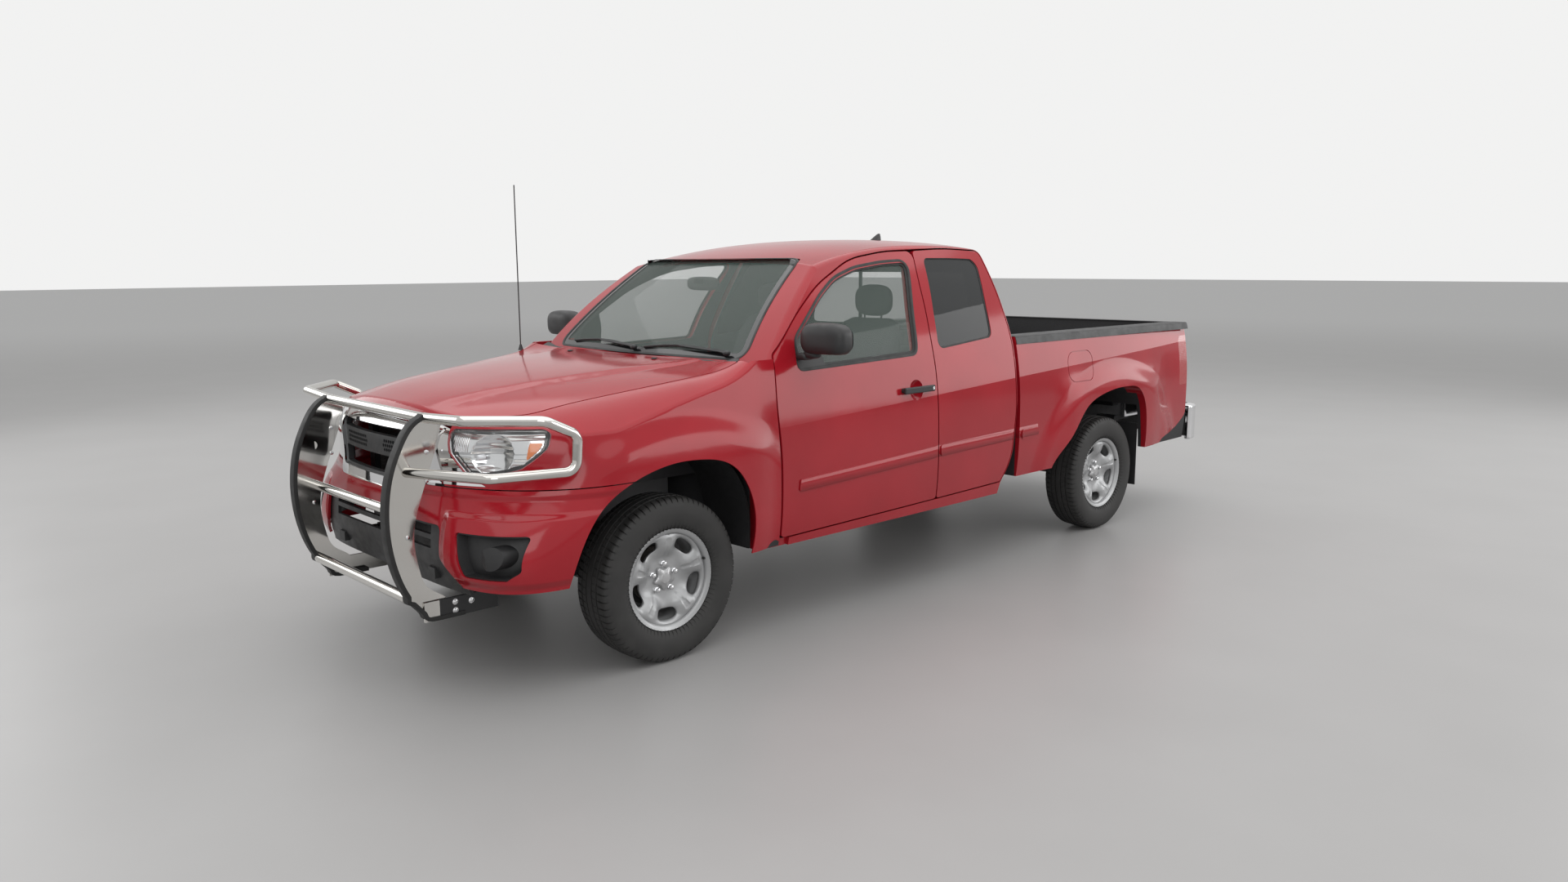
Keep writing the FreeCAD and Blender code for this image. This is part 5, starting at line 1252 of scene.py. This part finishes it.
def stuffed(name, shape, voxel, cap, seams=None):
    """A shape whose cover is blown out by pressure for 20 steps and kept within cap of its start,
    then drawn in along its seams."""
    start = shape.made(name + "_start", "chassis", cloth_look.material)
    remesh = start.modifiers.new("voxels", "REMESH")
    remesh.mode, remesh.voxel_size = "VOXEL", voxel
    graph = bpy.context.evaluated_depsgraph_get()
    mesh = bpy.data.meshes.new_from_object(start.evaluated_get(graph))
    mesh.name = name
    bpy.data.objects.remove(start)
    piece = placed(name, mesh)
    before = after = vectors(mesh)
    cloth = piece.modifiers.new("cover", "CLOTH")
    cloth.settings.use_pressure = True
    cloth.settings.uniform_pressure_force = foam_pressure
    cloth.settings.effector_weights.gravity = 0
    cloth.settings.quality = 4
    cloth.point_cache.frame_start, cloth.point_cache.frame_end = 1, blown_steps
    for step in range(1, blown_steps + 1):
        bpy.context.scene.frame_set(step)
    graph = bpy.context.evaluated_depsgraph_get()
    after = vectors(piece.evaluated_get(graph).data)
    piece.modifiers.remove(cloth)
    bpy.context.scene.frame_set(1)
    move = after - before
    far = np.linalg.norm(move, axis=1, keepdims=True)
    points = before + move * np.minimum(1.0, cap / np.maximum(far, 1e-9))
    if seams:
        points = points - vectors(mesh, "normal") * seams(points)[:, None]
    mesh.vertices.foreach_set("co", points.ravel())
    mesh.polygons.foreach_set("use_smooth", np.full(len(mesh.polygons), True))
    mesh.update()
    return piece


def finished_pad(piece, image_name=None):
    """Gives a stuffed piece, or its image on the vehicle's other side, its cover, smoothing and
    body."""
    if image_name:
        mesh = piece.data.copy()
        mesh.vertices.foreach_set("co", (vectors(mesh) * (-1, 1, 1)).ravel())
        mesh.flip_normals()
        mesh.name = image_name
        piece = placed(image_name, mesh)
    piece.data.materials.clear()
    piece.data.materials.append(cloth_look.material)
    smooth = piece.modifiers.new("smooth", "SUBSURF")
    smooth.levels = smooth.render_levels = 1
    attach(piece, "chassis")
    return piece


cushion = pillow(Surface(), (seat_x, axle_y + 1.200, 0.6900), (0.238, 0.232, 0.088), 4.2, 40, 56)
cushion_piece = stuffed("seat_cushion_left", cushion, 0.011, 0.010, bolster_seams)
back_z = np.array([0.632, 0.650, 0.720, 0.820, 0.960, 1.100, 1.220, 1.285, 1.306])[:, None]
back_deep = np.array([0.050, 0.074, 0.083, 0.094, 0.080, 0.067, 0.055, 0.044, 0.022])[:, None]
back_wide = np.array([0.190, 0.222, 0.236, 0.238, 0.238, 0.230, 0.212, 0.180, 0.130])[:, None]
back_y = np.interp(back_z, [0.62, 0.82, 1.10, 1.30], [1.472, 1.5065, 1.609, 1.683]) + axle_y
back_turn = np.arange(48) * 2 * np.pi / 48
back_round = squared(back_turn, 3.6)
back_x = seat_x + back_wide * back_round * np.cos(back_turn)
back = Surface().tube(xyz(back_x, back_y + back_deep * back_round * np.sin(back_turn), back_z))
back_piece = stuffed("seat_back_left", back, 0.011, 0.009, bolster_seams)
head = pillow(Surface(), (seat_x, axle_y + 1.695, 1.388), (0.120, 0.036, 0.080), 3.0, 24, 40)
head_piece = stuffed("seat_headrest_left", head, 0.008, 0.006)
post = [(0.0, 0.0), (0.0, 0.0055), (0.070, 0.0055), (0.070, 0.0)]
for side, sign in sides:
    parts = []
    for piece, part in ((cushion_piece, "cushion"), (back_piece, "back"), (head_piece, "headrest")):
        parts.append(finished_pad(piece, "seat_" + part + "_right" if sign < 0 else None))
    base = boxes(
        ((0.150, axle_y + 0.985, 0.522), (0.600, axle_y + 1.440, 0.608), 0.014),
        ((0.1265, axle_y + 1.300, 0.560), (0.1500, axle_y + 1.500, 0.700), 0.010),
        ((0.6000, axle_y + 1.300, 0.560), (0.6235, axle_y + 1.500, 0.700), 0.010),
    )
    base.on_side(sign)
    parts.append(base.made("seat_base_" + side, "chassis", black_plastic, "black_plastic", 35))
    metal = Surface()
    for x in (0.185, 0.565):
        rail_low, rail_high = (x - 0.020, axle_y + 0.970, 0.5005), (x + 0.020, axle_y + 1.480, 0.524)
        rounded_box(metal, rail_low, rail_high, 0.003)
        post_x = seat_x + (x - seat_x) * 0.30
        turned(metal, post, (post_x, axle_y + 1.690, 1.285), "z", 12)
    metal.on_side(sign).made("seat_rails_" + side, "chassis", rail_steel, "chassis_black", 35)
    for piece in parts:
        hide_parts("seat_" + side)

# Folding rear seats
# Two thin padded squabs folded up against the cab's rear wall.

for side, sign in sides:
    squab = pillow(Surface(), (0.325 * sign, 0.4735, 0.880), (0.262, 0.0150, 0.248), 5.0, 40, 56)
    pad = finished_pad(stuffed("jump_squab_" + side, squab, 0.010, 0.0035))
    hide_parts("jump_seats")

# Dashboard
# Moulded grey and black: a hooded instrument binnacle with two plain dials, three air vents, a centre
# stack with a dark screen and three knobs, and a tunnel console with a gear lever.

dash_y = axle_y + 0.832
dash = boxes(((-0.125, dash_y - 0.020, 0.760), (0.125, dash_y + 0.012, 1.085), 0.010))
hood_rows = [(0.165, 0.072, -0.16), (0.172, 0.080, -0.08), (0.172, 0.078, -0.006)]
hood_rows += [(0.160, 0.066, -0.006), (0.155, 0.060, -0.050)]
wide, high, back = np.array(hood_rows).T[:, :, None]
turn = np.linspace(0, np.pi, 24)
dash.grid(xyz(seat_x + wide * np.cos(turn), dash_y + back, 1.075 + high * np.sin(turn)))
dash.made("dash_binnacle", "chassis", grey_trim, "interior_trim", 35)
stack = boxes(((-0.095, dash_y + 0.0115, 0.965), (0.095, dash_y + 0.0150, 1.065), 0.002))
knob = [(0.0, 0.0), (0.0, 0.021), (0.012, 0.018), (0.015, 0.015), (0.015, 0.0)]
for x in (-0.070, 0.0, 0.070):
    turned(stack, knob, (x, dash_y + 0.012, 0.850), "y", 24)
stack.made("dash_controls", "chassis", gloss_black, "black_plastic", 35)

dial_look = Look("dial_faces", (0.03, 0.03, 0.032), 0.35)
dial_far = (abs(dial_look.axis(0) - seat_x) - 0.062).far(dial_look.axis(2) - 1.098)
dial_ring = (dial_far > 0.040) * (dial_far < 0.043)
dial_look.set("Base Color", dial_look.blend(dial_ring, (0.016, 0.016, 0.017), (0.55, 0.56, 0.58)))
dial_look.set("Roughness", dial_look.noise(20.0).ramp(0.3, 0.8, 0.25, 0.4))
dials = boxes(((seat_x - 0.140, dash_y - 0.075, 1.046), (seat_x + 0.140, dash_y - 0.070, 1.140), 0.002))
dials.made("dash_dials", "chassis", dial_look.material, "black_plastic")

vents = Surface()
for x, half in ((-0.650, 0.075), (-0.205, 0.060), (0.650, 0.075)):
    for z in np.arange(0.995, 1.062, 0.011):
        rounded_box(vents, (x - half, dash_y - 0.006, z), (x + half, dash_y + 0.005, z + 0.004), 0.0015)
vents.made("dash_vents", "chassis", black_plastic, "black_plastic", 35)
console = boxes(
    ((-0.095, axle_y + 0.845, 0.480), (0.095, axle_y + 1.420, 0.640), 0.018),
    ((-0.088, axle_y + 1.180, 0.640), (0.088, axle_y + 1.415, 0.735), 0.020),
)
console.made("console", "chassis", grey_trim, "interior_trim", 35)
lever_profile = [(0.0, 0.0), (0.0, 0.034), (0.030, 0.020), (0.050, 0.008), (0.130, 0.0065)]
lever_profile += [(0.140, 0.017), (0.165, 0.022), (0.185, 0.018), (0.192, 0.0)]
lever = turned(Surface(), lever_profile, (0.0, axle_y + 1.00, 0.639), "z", 28)
lever.made("gear_lever", "chassis", black_plastic, "black_plastic", 35)

# Inside mirror
# A black shell on a short stem behind the windshield's top, with its glass turned to the rear.

inner_middle, inner_size = (0.0, axle_y + 0.868, 1.482), (0.118, 0.014, 0.033)
inner_back = (9, axle_y + 0.8795, 9)
inside_mirror = pillow(Surface(), inner_middle, inner_size, 3.4, 24, 48, high=inner_back)
rounded_box(inside_mirror, (-0.010, axle_y + 0.805, 1.484), (0.010, axle_y + 0.862, 1.508), 0.004)
inside_mirror.made("inside_mirror", "chassis", black_plastic, "black_plastic", 35)
inside_face = xyz(0.108 * reach_x, axle_y + 0.8802, inner_middle[2] + 0.027 * reach_z)
inside_glass = Surface().grid(inside_face, closed_columns=True)
inside_glass.made("inside_mirror_glass", "chassis", silvered, "chrome_bumper", 30)

# Door trims
# An armrest, a pull and a speaker ring on the inner panel of each front door.

card_starts = [(0.45, axle_y + 1.10, z) for z in (0.60, 0.84)]
low_x, arm_x = landed(skin_of("door_front_left"), card_starts, (1, 0, 0))[0][:, 0]
speaker = [(0.0, 0.060), (0.0, 0.078), (0.008, 0.074), (0.009, 0.062), (0.004, 0.058), (0.003, 0.0)]
for side, sign in sides:
    card = boxes(
        ((arm_x - 0.058, axle_y + 0.90, 0.800), (arm_x + 0.001, axle_y + 1.42, 0.848), 0.016),
        ((arm_x - 0.050, axle_y + 0.92, 0.846), (arm_x - 0.022, axle_y + 1.10, 0.868), 0.010),
    )
    turned(card, speaker, (low_x + 0.0005, axle_y + 0.84, 0.600), "x", 36, -1)
    card.on_side(sign).made("door_trim_" + side, "front_door_" + side, grey_trim, "interior_trim", 35)

# The size of the visual model

low, high = [list(corner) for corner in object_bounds()]
